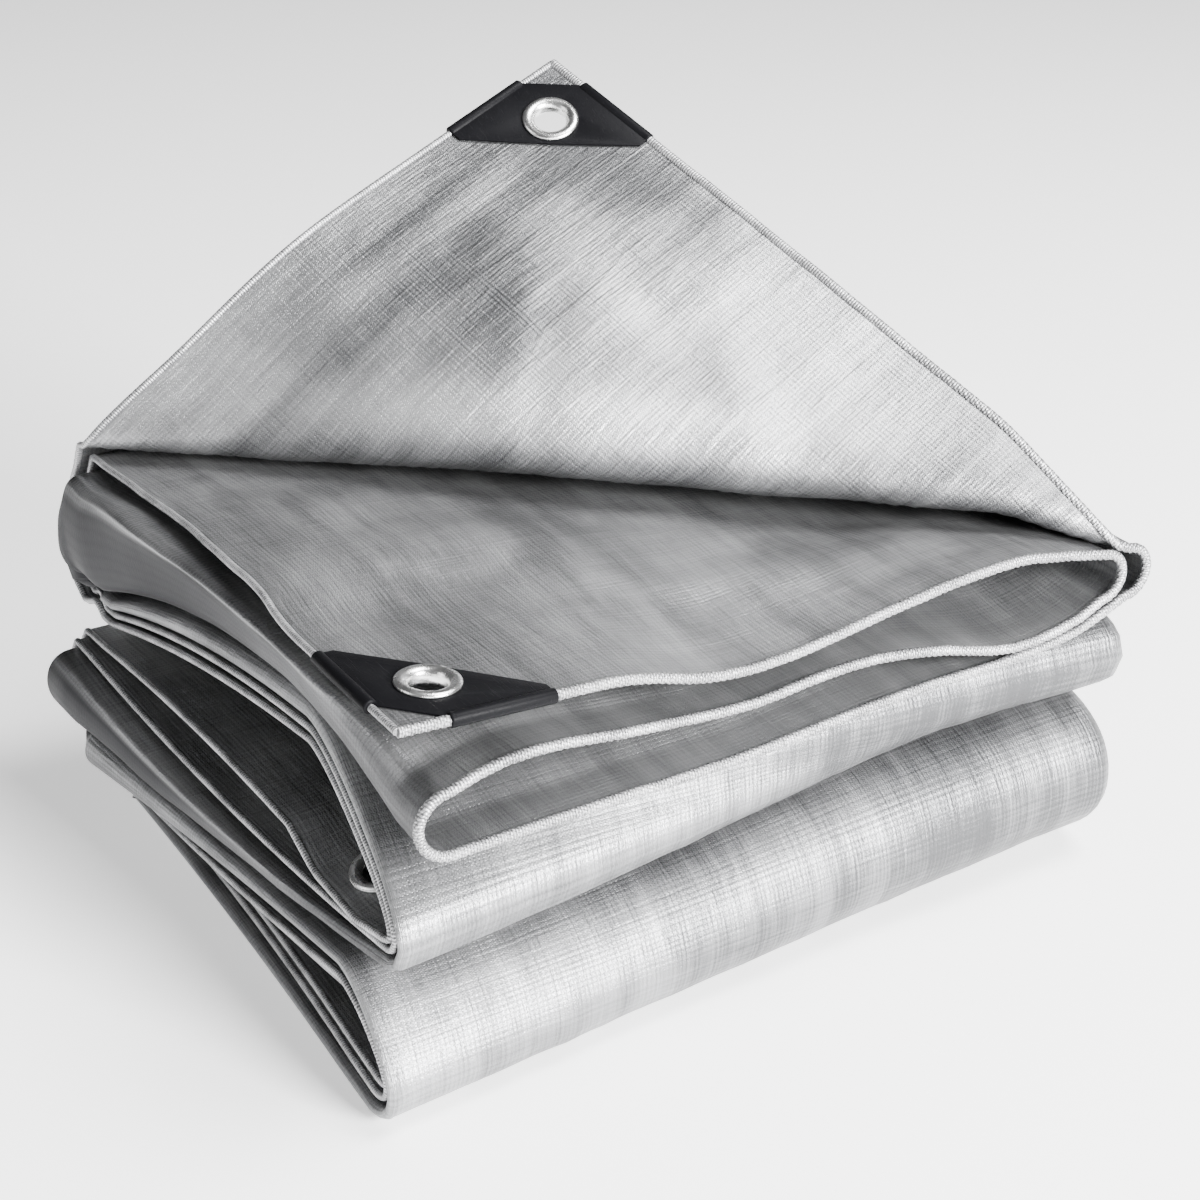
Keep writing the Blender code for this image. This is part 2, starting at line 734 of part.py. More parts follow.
def build_eyelet(name, centre, stack, frame, material, group):
    """A turned eyelet: a neck through the hole with a flange on each side."""
    inner = 0.5 * stack + PATCH_GAP
    outer = inner + EYELET_FLANGE
    soft = 0.4 * EYELET_FLANGE
    profile = ((EYELET_OUTER - soft, outer), (EYELET_OUTER, inner + soft), (EYELET_OUTER, inner),
               (EYELET_NECK, inner), (EYELET_NECK, -inner), (EYELET_OUTER, -inner),
               (EYELET_OUTER, -inner - soft), (EYELET_OUTER - soft, -outer),
               (EYELET_HOLE + soft, -outer), (EYELET_HOLE, -inner), (EYELET_HOLE, inner),
               (EYELET_HOLE + soft, outer))
    bm = bmesh.new()
    verts = [bm.verts.new((r * MM, 0.0, z * MM)) for r, z in profile]
    for first, second in zip(verts, verts[1:] + verts[:1]):
        bm.edges.new((first, second))
    eyelet = new_object(name, bm, material, group)
    spin = eyelet.modifiers.new("Turned", "SCREW")
    spin.steps = EYELET_STEPS
    spin.render_steps = EYELET_STEPS
    spin.use_merge_vertices = True
    spin.merge_threshold = MERGE
    move = frame @ Matrix.Translation(Vector((centre[0], centre[1], 0.0)))
    placed(eyelet, move)
    return eyelet


def main():
    clear_scene()
    group = collection("folded_tarp")
    cutters = collection("cutters")
    silver = principled("silver_cloth", SILVER)
    black = principled("black_plastic", BLACK)
    aluminium = principled("aluminium", ALUMINIUM)
    build_sheet(silver, group)
    patch_stack = CLOTH + 2.0 * (PATCH_GAP + PATCH_PLATE)
    inset = (EYELET_INSET, EYELET_INSET)
    cloth_end = CORNER_CLOTH - PATCH_GAP
    for layer, where in (("A", "raised"), ("B", "near")):
        frame = FRAMES[layer]
        build_cloth_piece("corner_cloth_" + where, (0.0, 0.0), (cloth_end, cloth_end), inset,
                          frame, silver, group, cutters)
        build_patch("corner_patch_" + where, frame, black, group, cutters)
        build_eyelet("eyelet_" + where, inset, patch_stack, frame, aluminium, group)
    half = 0.5 * STRIP_WIDE - PATCH_GAP
    hole = (HEM_EYELET_INSET, 0.0)
    build_cloth_piece("hem_strip", (0.0, -half), (cloth_end, half), hole, FRAMES["hem"], silver,
                      group, cutters)
    build_eyelet("eyelet_hem", hole, CLOTH, FRAMES["hem"], aluminium, group)


FRAMES = {"A": corner_frame("A"), "B": corner_frame("B"), "hem": hem_frame()}
main()
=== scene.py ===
"""Folded tarp: the silver sheet with its hems, corner patches and eyelets, around the CAD frame.

Tables are in millimetres, measured from the near bottom corner of the pile, X to the right
along the front, Y to the back, Z up.  The frame's origin is under the middle of the pile.
"""
import math

import bmesh
import bpy
import numpy as np
from mathutils import Matrix, Vector, noise


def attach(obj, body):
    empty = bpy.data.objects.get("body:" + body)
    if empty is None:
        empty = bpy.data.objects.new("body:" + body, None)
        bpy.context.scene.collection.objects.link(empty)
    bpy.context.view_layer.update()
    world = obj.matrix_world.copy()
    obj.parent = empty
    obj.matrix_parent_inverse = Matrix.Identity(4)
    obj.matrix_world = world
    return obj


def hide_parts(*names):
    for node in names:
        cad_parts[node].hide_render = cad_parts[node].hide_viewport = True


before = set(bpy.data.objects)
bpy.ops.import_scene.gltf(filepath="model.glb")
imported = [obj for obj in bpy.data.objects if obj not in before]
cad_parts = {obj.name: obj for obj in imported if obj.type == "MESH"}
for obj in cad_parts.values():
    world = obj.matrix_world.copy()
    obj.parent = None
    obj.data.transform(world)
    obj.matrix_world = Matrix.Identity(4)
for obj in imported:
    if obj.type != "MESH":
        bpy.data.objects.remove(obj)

bl_info = {
    "name": "Folded tarp",
    "version": (1, 0, 0),
    "blender": (4, 5, 0),
    "location": "3D View > Sidebar > Folded tarp",
    "description": "Builds a folded silver tarp with hems, corner patches and eyelets",
    "category": "Add Mesh",
}

MM = 0.001

# The CAD nodes of the one sheet, from the turned corner down
SHEET_NODES = (
    "turned_corner", "top_layer", "corner_layer", "inner_layer", "lower_layer",
    "upper_back_turn", "second_level", "upper_front_turn", "eyelet_layer", "third_level",
    "lower_back_turn", "fourth_level", "lower_front_turn", "bottom_level",
    "corner_cloth_near", "corner_cloth_raised", "hem_strip")

# The pile, as in the CAD: its size, the step between layers, and how far and how roundly the
# side folds stand out
WIDTH = 340.0
LENGTH = 278.0
LAYER_STEP = 4.2
FOLD_DEPTH = 11.0
FOLD_SHAPE = 0.45
FOLD_LEAST = 1.0
LEFT_FOLD_DEPTH = 15.0
CURVE_END = 20.0

# The left folds are pinched behind their front: where that starts, over how far it grows and
# lessens again, from where and by how much, its share in each level, and how far the folds
# stand out from the lower layer, 0, to the upper one, 1
PINCH_FROM = 20.0
PINCH_OVER = 80.0
PINCH_TO = 190.0
PINCH_LESS = 0.7
PINCH_SHARES = {1: 1.0, 3: 0.3}
PINCHED = ((0.0, 0.0), (0.08, 0.3), (0.25, 0.52), (0.45, 0.64), (0.62, 0.76), (0.76, 0.92),
           (0.84, 1.0), (0.9, 0.97), (0.95, 0.75), (1.0, 0.0))

# The corner turned back: the height it turns at, its angle and the size of its roll
FLAP_HEIGHT = 167.0
FLAP_SLOPE = 0.03
FLAP_DROP = 11.0
FLAP_DROP_FROM = 285.0
FLAP_BOW = 6.0
FLAP_SETTLE = 50.0
STRAIGHT_FROM = 150.0
STRAIGHT_OVER = 100.0
# Columns: share of the diagonal from the right, radius, angle turned
FLAP_ROLL = ((0.0, 4.0, 141), (0.2, 10.0, 141), (0.45, 15.0, 141), (0.62, 15.0, 140),
             (0.85, 10.0, 122), (1.0, 5.0, 110))

# Corner patches and eyelets
CORNER_X = 2.0
PATCH_LEG = 60.0
PATCH_CLIP = 19.0
PATCH_END = 6.0
PATCH_BOW = 33.5
CORNER_FLAT = 74.0
CORNER_EASE = 46.0
RAISED_EASE = 150.0
EYELET_INSET = 24.0
CLOTH_HOLE = 8.0
HEM_EYELET_X = 0.0
HEM_EYELET_Y = 52.0
HEM_EYELET_Z = 69.0
HEM_EYELET_RISE = 16.0
HEM_EYELET_LEAN = 0.07
HEM_EYELET_INSET = 19.0
STRIP_FLAT = 36.0
STRIP_WIDE = 30.0
STRIP_EASE = 22.0

# The height of layer B's flat near corner, and how it falls to the right and rises to the back
NEAR_HEIGHT = 162.2
NEAR_FALL = 0.065
NEAR_RISE = 0.01

# Left end of each layer in each level: how far across it lies, and how high
# Columns: layer, x at the front, middle and back, z at the front, middle and back
LEFT_ENDS = {
    1: (("A", 2, 2, -3, 168, 171, 166),
        ("B", 2, 5, 2, 162, 166, 161),
        ("C", 20, 10, -1, 126, 156, 154),
        ("D", 20, 12, -1, 112, 131, 107)),
    2: (("D", 28, 12, -2, 107, 125.5, 102),
        ("C", 28, 12, -2, 103, 117.5, 98.5),
        ("B", 26, 10, -2, 99, 113, 95),
        ("A", 28, 8, -4, 95, 109, 91.5)),
    3: (("A", 3, -3, -12, 69.5, 84, 87),
        ("B", 3, -6, -17, 65.5, 66.5, 83.5),
        ("C", 4, -9, -19, 61.5, 60, 80),
        ("D", 4, -6, -16, 57.5, 49, 50)),
    4: (("D", -2, -6, -12, 53.5, 44, 43),
        ("C", -3, -6, -12, 50, 37, 24),
        ("B", -5, -6, -8, 46.8, 29, 20),
        ("A", -4, -2, -4, 43.5, 24, 16)),
    5: (("A", -4, 4, 6, 13.2, 13.4, 11.4),
        ("B", -6, 2, 4, 9, 9.2, 7.8),
        ("C", -6, 0, 2, 4.8, 5, 4.2),
        ("D", -6, 0, 2, 0.75, 0.75, 0.75)),
}

# Right end of each layer in each level: how high it lies
# Columns: layer, z at the front, middle and back
RIGHT_ENDS = {
    1: (("A", 148, 153, 152), ("B", 140, 147, 146), ("C", 135, 138, 136), ("D", 129, 126, 124)),
    2: (("D", 114, 116, 116), ("C", 109, 111, 111), ("B", 104, 106, 106), ("A", 99, 100, 100)),
    3: (("A", 92, 92, 92), ("B", 87, 86, 86), ("C", 82, 81, 81), ("D", 76, 76, 76)),
    4: (("D", 71, 71, 70), ("C", 66, 65, 62), ("B", 61, 59, 54), ("A", 56, 51, 44)),
    5: (("A", 22, 24, 26), ("B", 10, 12, 14), ("C", 5, 6, 7), ("D", 0.75, 0.75, 0.75)),
}

# The front hems of the top level: how high each one waves along the front
# Columns: x, height of layers B, C and D
FRONT_HEMS = (
    (0, 162, 126, 108), (35, 160, 138, 109), (60, 158.2, 139, 109), (97, 153, 134, 109),
    (141, 145, 130, 109), (190, 149, 133, 112), (225, 154, 129, 113), (268, 155, 118, 113),
    (300, 150, 120, 115), (322, 145, 129, 122), (340, 140, 135, 129))
HEM_WAVE_DEPTH = 110.0

# Where the levels end and turn over: Y of the upper and the lower level's end, at the left
# and at the right, how far the innermost layer swings, and the thickness of the four layers
# Columns: upper level, innermost layer, upper left, lower left, upper right, lower right,
# swing left, swing right, bundle left, bundle right, shape
TURNS = (
    (1, "D", 276, 266, 256, 254, 283, 267, 15.0, 13.5, 2.1),
    (2, "A", 98, 20, 36, 36, 3, 14, 9.6, 14.0, 2.1),
    (3, "D", 266, 258, 256, 254, 274, 267, 15.0, 13.5, 2.1),
    (4, "A", 42, 15, 40, 40, 2, 14, 10.0, 14.0, 2.3),
)
LAST_LEVEL_END = 262.0
# Step to either side, in radians, that gives a turn's direction
TURN_NUDGE = 0.01
LAYERS = "ABCD"

# Grid of the sheet: fine steps at its two patched corners and the hem eyelet, then steps along
# each level and each turn, and across each layer and fold
FINE_REACH = 40.0
FINE_STEP = 2.5
STRIP_CLEAR = 0.01
LEVEL_STEPS = {1: 48, 2: 16, 3: 14, 4: 12, 5: 12}
TURN_STEPS = {1: 12, 2: 22, 3: 12, 4: 22}
LAYER_STEPS = {"A": 44, "B": 44, "C": 26, "D": 58}
FOLD_STEPS = 9
PINCH_STEPS = 26
# The strip from hem to hem: each layer, 0, and each fold at the right, 1, or left, -1
STRIP_ORDER = (("A", 0), ("AD", 1), ("D", 0), ("DC", -1), ("C", 0), ("CB", 1), ("B", 0))

# The camera: its place from the pile's near corner, its right and up directions, and its lens
CAMERA_PLACE = (-272.6, -559.2, 519.1)
CAMERA_RIGHT = (0.84614, -0.53296, 0.0)
CAMERA_UP = (0.23787, 0.37765, 0.89487)
CAMERA_LENS = 66.0
CAMERA_SENSOR = 36.0


def ease(value):
    """Smooth step from 0 to 1."""
    value = min(max(value, 0.0), 1.0)
    return value * value * (3.0 - 2.0 * value)


def smooth_along(rows, value):
    """Read a table of (position, reading) rows by a curve through its rows."""
    last = len(rows) - 1
    k = next((i for i in range(last) if value <= rows[i + 1][0]), last - 1)
    (x0, y0), (x1, y1) = rows[k], rows[k + 1]
    before, after = rows[max(k - 1, 0)], rows[min(k + 2, last)]
    run = x1 - x0
    m0 = (y1 - before[1]) / (x1 - before[0]) * run
    m1 = (after[1] - y0) / (after[0] - x0) * run
    t = min(max((value - x0) / run, 0.0), 1.0)
    return ((2 * t ** 3 - 3 * t ** 2 + 1) * y0 + (t ** 3 - 2 * t ** 2 + t) * m0
            + (3 * t ** 2 - 2 * t ** 3) * y1 + (t ** 3 - t ** 2) * m1)


def three(front, middle, back, y):
    """Read the curve through a front, a middle and a back reading at Y."""
    share = min(max((y - CURVE_END) / (LENGTH - 2.0 * CURVE_END), 0.0), 1.0)
    bend = middle - 0.5 * (front + back)
    return front + (back - front) * share + bend * 4.0 * share * (1.0 - share)


def row_of(table, layer):
    return next(row for row in table if row[0] == layer)


def left_end(level, layer, y):
    row = row_of(LEFT_ENDS[level], layer)
    return Vector((three(*row[1:4], y), y, three(*row[4:7], y)))


def right_x(layer):
    """Where a layer ends at the right: B and C turn inside the fold of D and A."""
    return WIDTH - FOLD_DEPTH - (3.0 * LAYER_STEP if layer in "BC" else 0.0)


def right_end(level, layer, y):
    row = row_of(RIGHT_ENDS[level], layer)
    return Vector((right_x(layer), y, three(*row[1:4], y)))


def bent(upper, lower, swing_y, shape, angle):
    """A point part of the way round a turn from the upper to the lower level."""
    across = math.copysign(abs(math.cos(angle)) ** (2.0 / shape), math.cos(angle))
    point = upper.lerp(lower, 0.5 * (1.0 - across))
    ends = (upper.y, lower.y)
    furthest = max(ends) if swing_y > max(ends) else min(ends)
    point.y += abs(math.sin(angle)) ** (2.0 / shape) * (swing_y - furthest)
    return point


def turned_ends(turn, layer, angle):
    """Left and right end of a layer, part of the way round a turn.

    The innermost layer bends round first, and the others lie outside it.
    """
    level, innermost, ul, ll, ur, lr, swing_l, swing_r, bundle_l, bundle_r, shape = turn
    order = abs(LAYERS.index(layer) - LAYERS.index(innermost))
    share = angle / math.pi
    ends = []
    for end, upper_y, lower_y, swing_y, bundle in ((left_end, ul, ll, swing_l, bundle_l),
                                                   (right_end, ur, lr, swing_r, bundle_r)):
        inner_up, inner_low = end(level, innermost, upper_y), end(level + 1, innermost, lower_y)
        up, low = end(level, layer, upper_y), end(level + 1, layer, lower_y)
        point = bent(inner_up, inner_low, swing_y, shape, angle)
        run = (bent(inner_up, inner_low, swing_y, shape, angle + TURN_NUDGE)
               - bent(inner_up, inner_low, swing_y, shape, angle - TURN_NUDGE))
        forward = 1.0 if swing_y > upper_y else -1.0
        normal = Vector((0.0, -run.z, run.y)).normalized() * forward
        first, last = up.z - inner_up.z, inner_low.z - low.z
        middle = bundle * order / 3.0
        bend = middle - 0.5 * (first + last)
        out = first + (last - first) * share + bend * 4.0 * share * (1.0 - share)
        point += normal * out
        point.x = up.x + (low.x - up.x) * ease(share)
        ends.append(point)
    return ends


def near_steps(total):
    """Distances from a corner: fine steps near it, to where the wider steps begin."""
    count = round(FINE_REACH / FINE_STEP)
    return [FINE_STEP * k / total for k in range(count + 1)]


def stations():
    """Every cross line of the strip: the level, the turn or None, and how far along it lies."""
    near = near_steps(TURNS[0][2])
    steps = LEVEL_STEPS[1]
    places = [(1, None, share) for share in near]
    places += [(1, None, near[-1] + (1.0 - near[-1]) * k / steps) for k in range(1, steps + 1)]
    for turn in TURNS:
        level = turn[0] + 1
        steps = TURN_STEPS[turn[0]]
        places += [(turn[0], turn, math.pi * k / steps) for k in range(1, steps)]
        shares = [k / LEVEL_STEPS[level] for k in range(LEVEL_STEPS[level] + 1)]
        if level == 3:
            start, run = TURNS[1][3], TURNS[2][2] - TURNS[1][3]
            count = round(STRIP_WIDE / FINE_STEP)
            strip = [(HEM_EYELET_Y + FINE_STEP * (k - 0.5 * count) - start) / run
                     for k in range(count + 1)]
            low, high = strip[0] - STRIP_CLEAR, strip[-1] + STRIP_CLEAR
            shares = sorted([q for q in shares if not low < q < high] + strip)
        places += [(level, None, share) for share in shares]
    return places


def ends_at(place, layer):
    """Left and right end of a layer at one cross line."""
    level, turn, share = place
    if turn:
        return turned_ends(turn, layer, share)
    start = (0.0, 0.0) if level == 1 else (TURNS[level - 2][3], TURNS[level - 2][5])
    finish = (LAST_LEVEL_END,) * 2 if level == 5 else (TURNS[level - 1][2], TURNS[level - 1][4])
    ys = [a + (b - a) * share for a, b in zip(start, finish)]
    return left_end(level, layer, ys[0]), right_end(level, layer, ys[1])


def frame_on(origin, toward_s, toward_t):
    """A flat frame at a corner: S and T run along its two hems, the third way is up."""
    along_s = (toward_s - origin).normalized()
    up = along_s.cross(toward_t - origin).normalized()
    along_t = up.cross(along_s)
    place = Matrix((along_s, along_t, up)).transposed().to_4x4()
    place.translation = origin
    return place


def corner_frame(layer):
    """The flat frame of a patched corner, with the corner's tip at its origin."""
    height = flap_height if layer == "A" else near_height
    places = ((CORNER_X, 0.0), (CORNER_X + PATCH_LEG, 0.0), (CORNER_X, PATCH_LEG))
    tips = [Vector((x, y, height(x, y))) for x, y in places]
    return frame_on(*(fold_back(tip) if layer == "A" else tip for tip in tips))


def hem_frame():
    """The flat frame of the hem eyelet inside the middle hollow, centred on its strip."""
    origin = Vector((HEM_EYELET_X, HEM_EYELET_Y, HEM_EYELET_Z))
    rise = math.radians(HEM_EYELET_RISE)
    toward_s = origin + Vector((math.cos(rise), 0.0, math.sin(rise)))
    return frame_on(origin, toward_s, origin + Vector((0.0, 1.0, HEM_EYELET_LEAN)))


def near_height(x, y):
    """Height of layer B's flat near corner."""
    return NEAR_HEIGHT - NEAR_FALL * x + NEAR_RISE * y


def flattened(point, place, s, t, outside, easing):
    """Draw a point onto a flat frame, wholly up to its edge and less and less outside it."""
    weight = 1.0 - ease(outside / easing)
    if weight <= 0.0:
        return point
    return point.lerp(place @ Vector((s, t, 0.0)), weight)


def flap_height(x, y):
    """Height of the top layer where the corner lay before it was turned back."""
    drop = ease((x - FLAP_DROP_FROM) / (WIDTH - FOLD_DEPTH - FLAP_DROP_FROM))
    return FLAP_HEIGHT - FLAP_SLOPE * x - FLAP_DROP * drop


def fold_back(point):
    """Turn the near side of the top layer back over the diagonal."""
    right = Vector((WIDTH - FOLD_DEPTH, 0.0, 0.0))
    left = Vector((LEFT_ENDS[1][0][3], TURNS[0][2], 0.0))
    run = left - right
    outward = Vector((-abs(run.y), -abs(run.x), 0.0)).normalized()
    offset = point - right
    share = offset.dot(run) / run.length_squared
    bow = FLAP_BOW * math.sin(math.pi * min(max(share, 0.0), 1.0))
    distance = offset.dot(outward) + bow
    plane = flap_height(point.x, point.y)
    base = point.copy()
    base.z = plane + (point.z - plane) * ease(-distance / FLAP_SETTLE)
    if distance <= 0.0:
        return base
    radius = smooth_along([(row[0], row[1]) for row in FLAP_ROLL], share)
    angle = math.radians(smooth_along([(row[0], row[2]) for row in FLAP_ROLL], share))
    turned = min(distance / radius, angle)
    rest = max(distance - radius * angle, 0.0)
    out = radius * math.sin(turned) + rest * math.cos(turned)
    up = radius * (1.0 - math.cos(turned)) + rest * math.sin(turned)
    foot = base - outward * distance
    foot.z = flap_height(foot.x, foot.y)
    return foot + outward * out + Vector((0.0, 0.0, up))


FRAMES = {"A": corner_frame("A"), "B": corner_frame("B"), "hem": hem_frame()}
# Eyelet centres on their flat frames
EYELETS = {"A": (EYELET_INSET, EYELET_INSET), "B": (EYELET_INSET, EYELET_INSET),
           "hem": (HEM_EYELET_INSET, 0.0)}


def local_spot(place, layer, u, left, right):
    """Which flat frame a point belongs to, and where it lies on it, or None."""
    s = u * (right.x - left.x)
    if place[0] == 1 and not place[1] and layer in "AB":
        return layer, s, left.y
    if place[0] == 3 and not place[1] and layer == "A":
        return "hem", s, left.y - HEM_EYELET_Y
    return None


def layer_point(place, layer, u, ends):
    """A point of a layer: u runs from its left end, 0, to its right end, 1."""
    left, right = ends
    point = left.lerp(right, u)
    point.z = left.z + (right.z - left.z) * ease(u)
    level, turn, _ = place
    if level == 1 and not turn and layer in "BCD":
        start = left_end(1, layer, 0.0).z
        start += (right_end(1, layer, 0.0).z - start) * ease(u)
        column = 1 + "BCD".index(layer)
        wave = smooth_along([(row[0], row[column]) for row in FRONT_HEMS], point.x)
        point.z += (wave - start) * (1.0 - ease(point.y / HEM_WAVE_DEPTH))
    spot = local_spot(place, layer, u, left, right)
    if not spot:
        return point
    name, s, t = spot
    if name == "hem":
        edge = max(s - STRIP_FLAT, abs(t) - 0.5 * STRIP_WIDE)
        return flattened(point, FRAMES[name], s, t, edge, STRIP_EASE)
    if name == "B":
        return flattened(point, FRAMES[name], s, t, max(s, t) - CORNER_FLAT, CORNER_EASE)
    base = Vector((CORNER_X + s, t, point.z))
    point = fold_back(point.lerp(base, 1.0 - ease((t - STRAIGHT_FROM) / STRAIGHT_OVER)))
    edge = (s ** 4 + t ** 4) ** 0.25 - CORNER_FLAT
    return flattened(point, FRAMES[name], s, t, edge, RAISED_EASE)


def fold_point(a, b, side, angle, pinch=0.0):
    """A point on the fold that joins the ends of two layers, at the left or right."""
    depth = FOLD_SHAPE * (a - b).length + FOLD_LEAST
    depth = min(depth, FOLD_DEPTH if side > 0 else LEFT_FOLD_DEPTH)
    middle = (a + b) * 0.5
    half = (a - b) * 0.5
    share = angle / math.pi if a.z < b.z else 1.0 - angle / math.pi
    out = math.sin(angle)
    out += (smooth_along(PINCHED, share) - out) * pinch
    return middle + half * math.cos(angle) + Vector((side * depth * out, 0.0, 0.0))


def cross_line():
    """The places across the strip, from layer A's hem through the folds to layer B's hem."""
    line = []
    for name, side in STRIP_ORDER:
        if side:
            steps = FOLD_STEPS if side > 0 else PINCH_STEPS
            line += [(name, side, math.pi * k / steps) for k in range(1, steps)]
            continue
        near = near_steps(right_x(name) - CORNER_X) if name in "AB" else [0.0]
        steps = LAYER_STEPS[name]
        shares = near + [near[-1] + (1.0 - near[-1]) * k / steps for k in range(1, steps + 1)]
        line += [(name, u) for u in (shares if name in "AC" else reversed(shares))]
    return line


def pinch_at(place, side, y):
    """How far a left fold is pinched: not near the front, and less where it turns over."""
    level, turn, share = place
    if side > 0 or level not in PINCH_SHARES:
        return 0.0
    pinch = ease((y - PINCH_FROM) / PINCH_OVER) * PINCH_SHARES[level]
    pinch *= 1.0 - PINCH_LESS * ease((y - PINCH_TO) / PINCH_OVER)
    return pinch * (0.5 + 0.5 * math.cos(share)) if turn else pinch


def sheet_grid():
    """Points of the whole folded sheet in millimetres, and each point's place near an eyelet."""
    line, places = cross_line(), stations()
    points = np.zeros((len(places), len(line), 3))
    spots = {}
    for i, place in enumerate(places):
        ends = {layer: ends_at(place, layer) for layer in LAYERS}
        edge = {(layer, u): layer_point(place, layer, u, ends[layer])
                for layer in LAYERS for u in (0.0, 1.0)}
        for j, item in enumerate(line):
            if len(item) == 2:
                layer, u = item
                points[i, j] = layer_point(place, layer, u, ends[layer])
                spot = local_spot(place, layer, u, *ends[layer])
                if spot:
                    spots[i, j] = spot
            else:
                (first, second), side, bend = item
                u = 1.0 if side > 0 else 0.0
                a, b = edge[first, u], edge[second, u]
                points[i, j] = fold_point(a, b, side, bend, pinch_at(place, side, a.y))
    return points, spots, line, places


def grid_normals(points):
    """Unit normals of a grid of points."""
    down = np.gradient(points, axis=0)
    across = np.gradient(points, axis=1)
    normal = np.cross(across, down)
    return normal / np.maximum(np.linalg.norm(normal, axis=2, keepdims=True), 1e-9)


def summed(steps):
    """How far along each point lies, from the steps between them."""
    return np.concatenate(([0.0], np.cumsum(steps)))


def step_lengths(points, axis):
    return np.linalg.norm(np.diff(points, axis=axis), axis=-1)


def flat_steps(points):
    """How far across and along the flat sheet each grid line lies, in metres."""
    return (summed(step_lengths(points, 1).mean(axis=0)) * MM,
            summed(step_lengths(points, 0).mean(axis=1)) * MM)


# How the cloth puckers, for each surface: its level, level or turn, and its layer or fold
# Columns: height in mm, size across, size along, turned by
PUCKERS = {
    (1, "level", "A"): ((0.4, 26, 110, 0), (0.3, 80, 60, 30), (0.2, 12, 44, 4)),
    (1, "level", "B"): ((1.2, 60, 44, -20), (0.45, 20, 14, -35)),
    (1, "level", "C"): ((0.5, 40, 30, 0),),
    (1, "level", "D"): ((0.5, 40, 30, 0),),
    (1, "level", "DC"): ((1.2, 30, 42, 25),),
    (3, "level", "DC"): ((1.2, 30, 50, 25),),
    (1, "turn", "DC"): ((3.2, 14, 12, 0),),
    (3, "turn", "DC"): ((2.6, 14, 12, 0),),
    (2, "turn", "D"): ((0.7, 30, 120, 0), (0.3, 12, 50, 8)),
    (4, "turn", "D"): ((0.8, 34, 130, 0), (0.32, 13, 60, -6)),
    (1, "turn", "A"): ((0.6, 30, 90, 0),),
    (3, "turn", "A"): ((0.6, 30, 90, 0),),
}
# Over how far puckers fade in round a flat corner, how fine they are, and how far apart the
# levels lie in the noise, so that no two look alike
PUCKER_FADE = 22.0
PUCKER_PITCH = 1.4
PUCKER_SHIFT = 7.0

# Soft folds pressed into the turned corner, the top and the front turns
# Columns: x and y on the flat layer from its left front corner (for a turn, y is its share of
# the turn in hundredths), size along, size across, turned by, height
CREASES = {
    (1, "level", "A"): (
        (96, 88, 60, 5, 52, 0.8), (74, 84, 44, 4, 48, -0.6), (120, 60, 50, 6, 12, 0.7),
        (150, 40, 60, 9, 40, -0.9), (60, 120, 50, 6, 60, 0.7), (48, 60, 26, 4, 50, 0.5),
        (190, 52, 60, 8, 24, 0.8)),
    (1, "level", "B"): (
        (120, 60, 70, 8, -30, 0.8), (200, 50, 60, 10, -12, -1.0), (60, 150, 60, 8, 40, 0.8)),
    (2, "turn", "D"): ((120, 50, 60, 3, 80, 0.5), (210, 50, 50, 3, 96, 0.5)),
    (4, "turn", "D"): (
        (70, 50, 60, 3, 84, 0.5), (98, 50, 40, 2.5, 100, 0.45), (230, 50, 60, 3.5, 92, 0.5)),
}

# Painted light: patches of the top level and the front turns painted brighter or darker than
# the rest, as painted highlights and painted shade where light and shade fall on the cloth's bends
# Columns: as for the soft folds, with how much brighter in place of the height
PAINTED_LIGHT_PATCHES = {
    (1, "level", "A"): (
        (132, 120, 80, 8, -40, 0.85), (152, 142, 100, 8, -40, -0.3),
        (30, 170, 40, 20, 90, -0.2), (172, 28, 46, 24, -10, 0.6), (268, 18, 40, 20, -10, -0.3),
        (92, 16, 22, 12, -10, -0.45), (23, 93, 26, 5, 90, -0.5), (34, 74, 20, 4, 90, 0.5),
        (50, 105, 42, 7, 88, -0.55), (33, 141, 14, 8, 90, 0.45), (74, 60, 24, 15, 0, 0.3),
        (119, 64, 14, 10, 0, 0.4), (84, 104, 22, 12, 50, -0.5), (14, 205, 30, 14, 90, 0.45),
        (40, 34, 44, 30, 0, -0.55)),
    (1, "level", "D"): ((170, 4, 150, 16, 0, 0.7),),
    (1, "level", "C"): ((170, 4, 150, 16, 0, 0.7),),
    (2, "turn", "D"): ((290, 50, 90, 40, 0, -0.5),),
    (4, "turn", "D"): ((150, 50, 50, 40, 0, -0.3), (290, 50, 80, 40, 0, -0.4)),
}

# The faces of the left folds are painted dark, painted shade for the shade they lie in, and are
# made smoother and less metallic: in which levels, from where along a level and over how far
# that grows, and where it starts and ends between the two layers
SHADED_FOLD_LEVELS = (1, 3)
FOLD_SHADE_FROM = 0.2
FOLD_SHADE_OVER = 0.5
FOLD_SHADE_RISE = 0.14
FOLD_SHADE_END = 0.86
FOLD_SHADE_FALL = 0.12


def rows_at(table, place, item):
    """The rows of a table for one surface of the sheet."""
    return table.get((place[0], "turn" if place[1] else "level", item[0]), ())


def turned_by(degrees, x, y):
    """A place along and across a turned direction."""
    c, s = math.cos(math.radians(degrees)), math.sin(math.radians(degrees))
    return x * c + y * s, y * c - x * s


def soft_sum(table, place, item, x, y):
    """The sum of a table's soft patches at a place on its layer."""
    total = 0.0
    for cx, cy, long, wide, degrees, amount in rows_at(table, place, item):
        a, b = turned_by(degrees, x - cx, y - cy)
        total += amount * math.exp(-0.5 * ((a / long) ** 2 + (b / wide) ** 2))
    return total


def on_layer(place, item, down):
    """A place on its layer, in millimetres; in a turn Y is hundredths of the turn."""
    return item[1] * right_x(item[0]), 100.0 * place[2] / math.pi if place[1] else down / MM


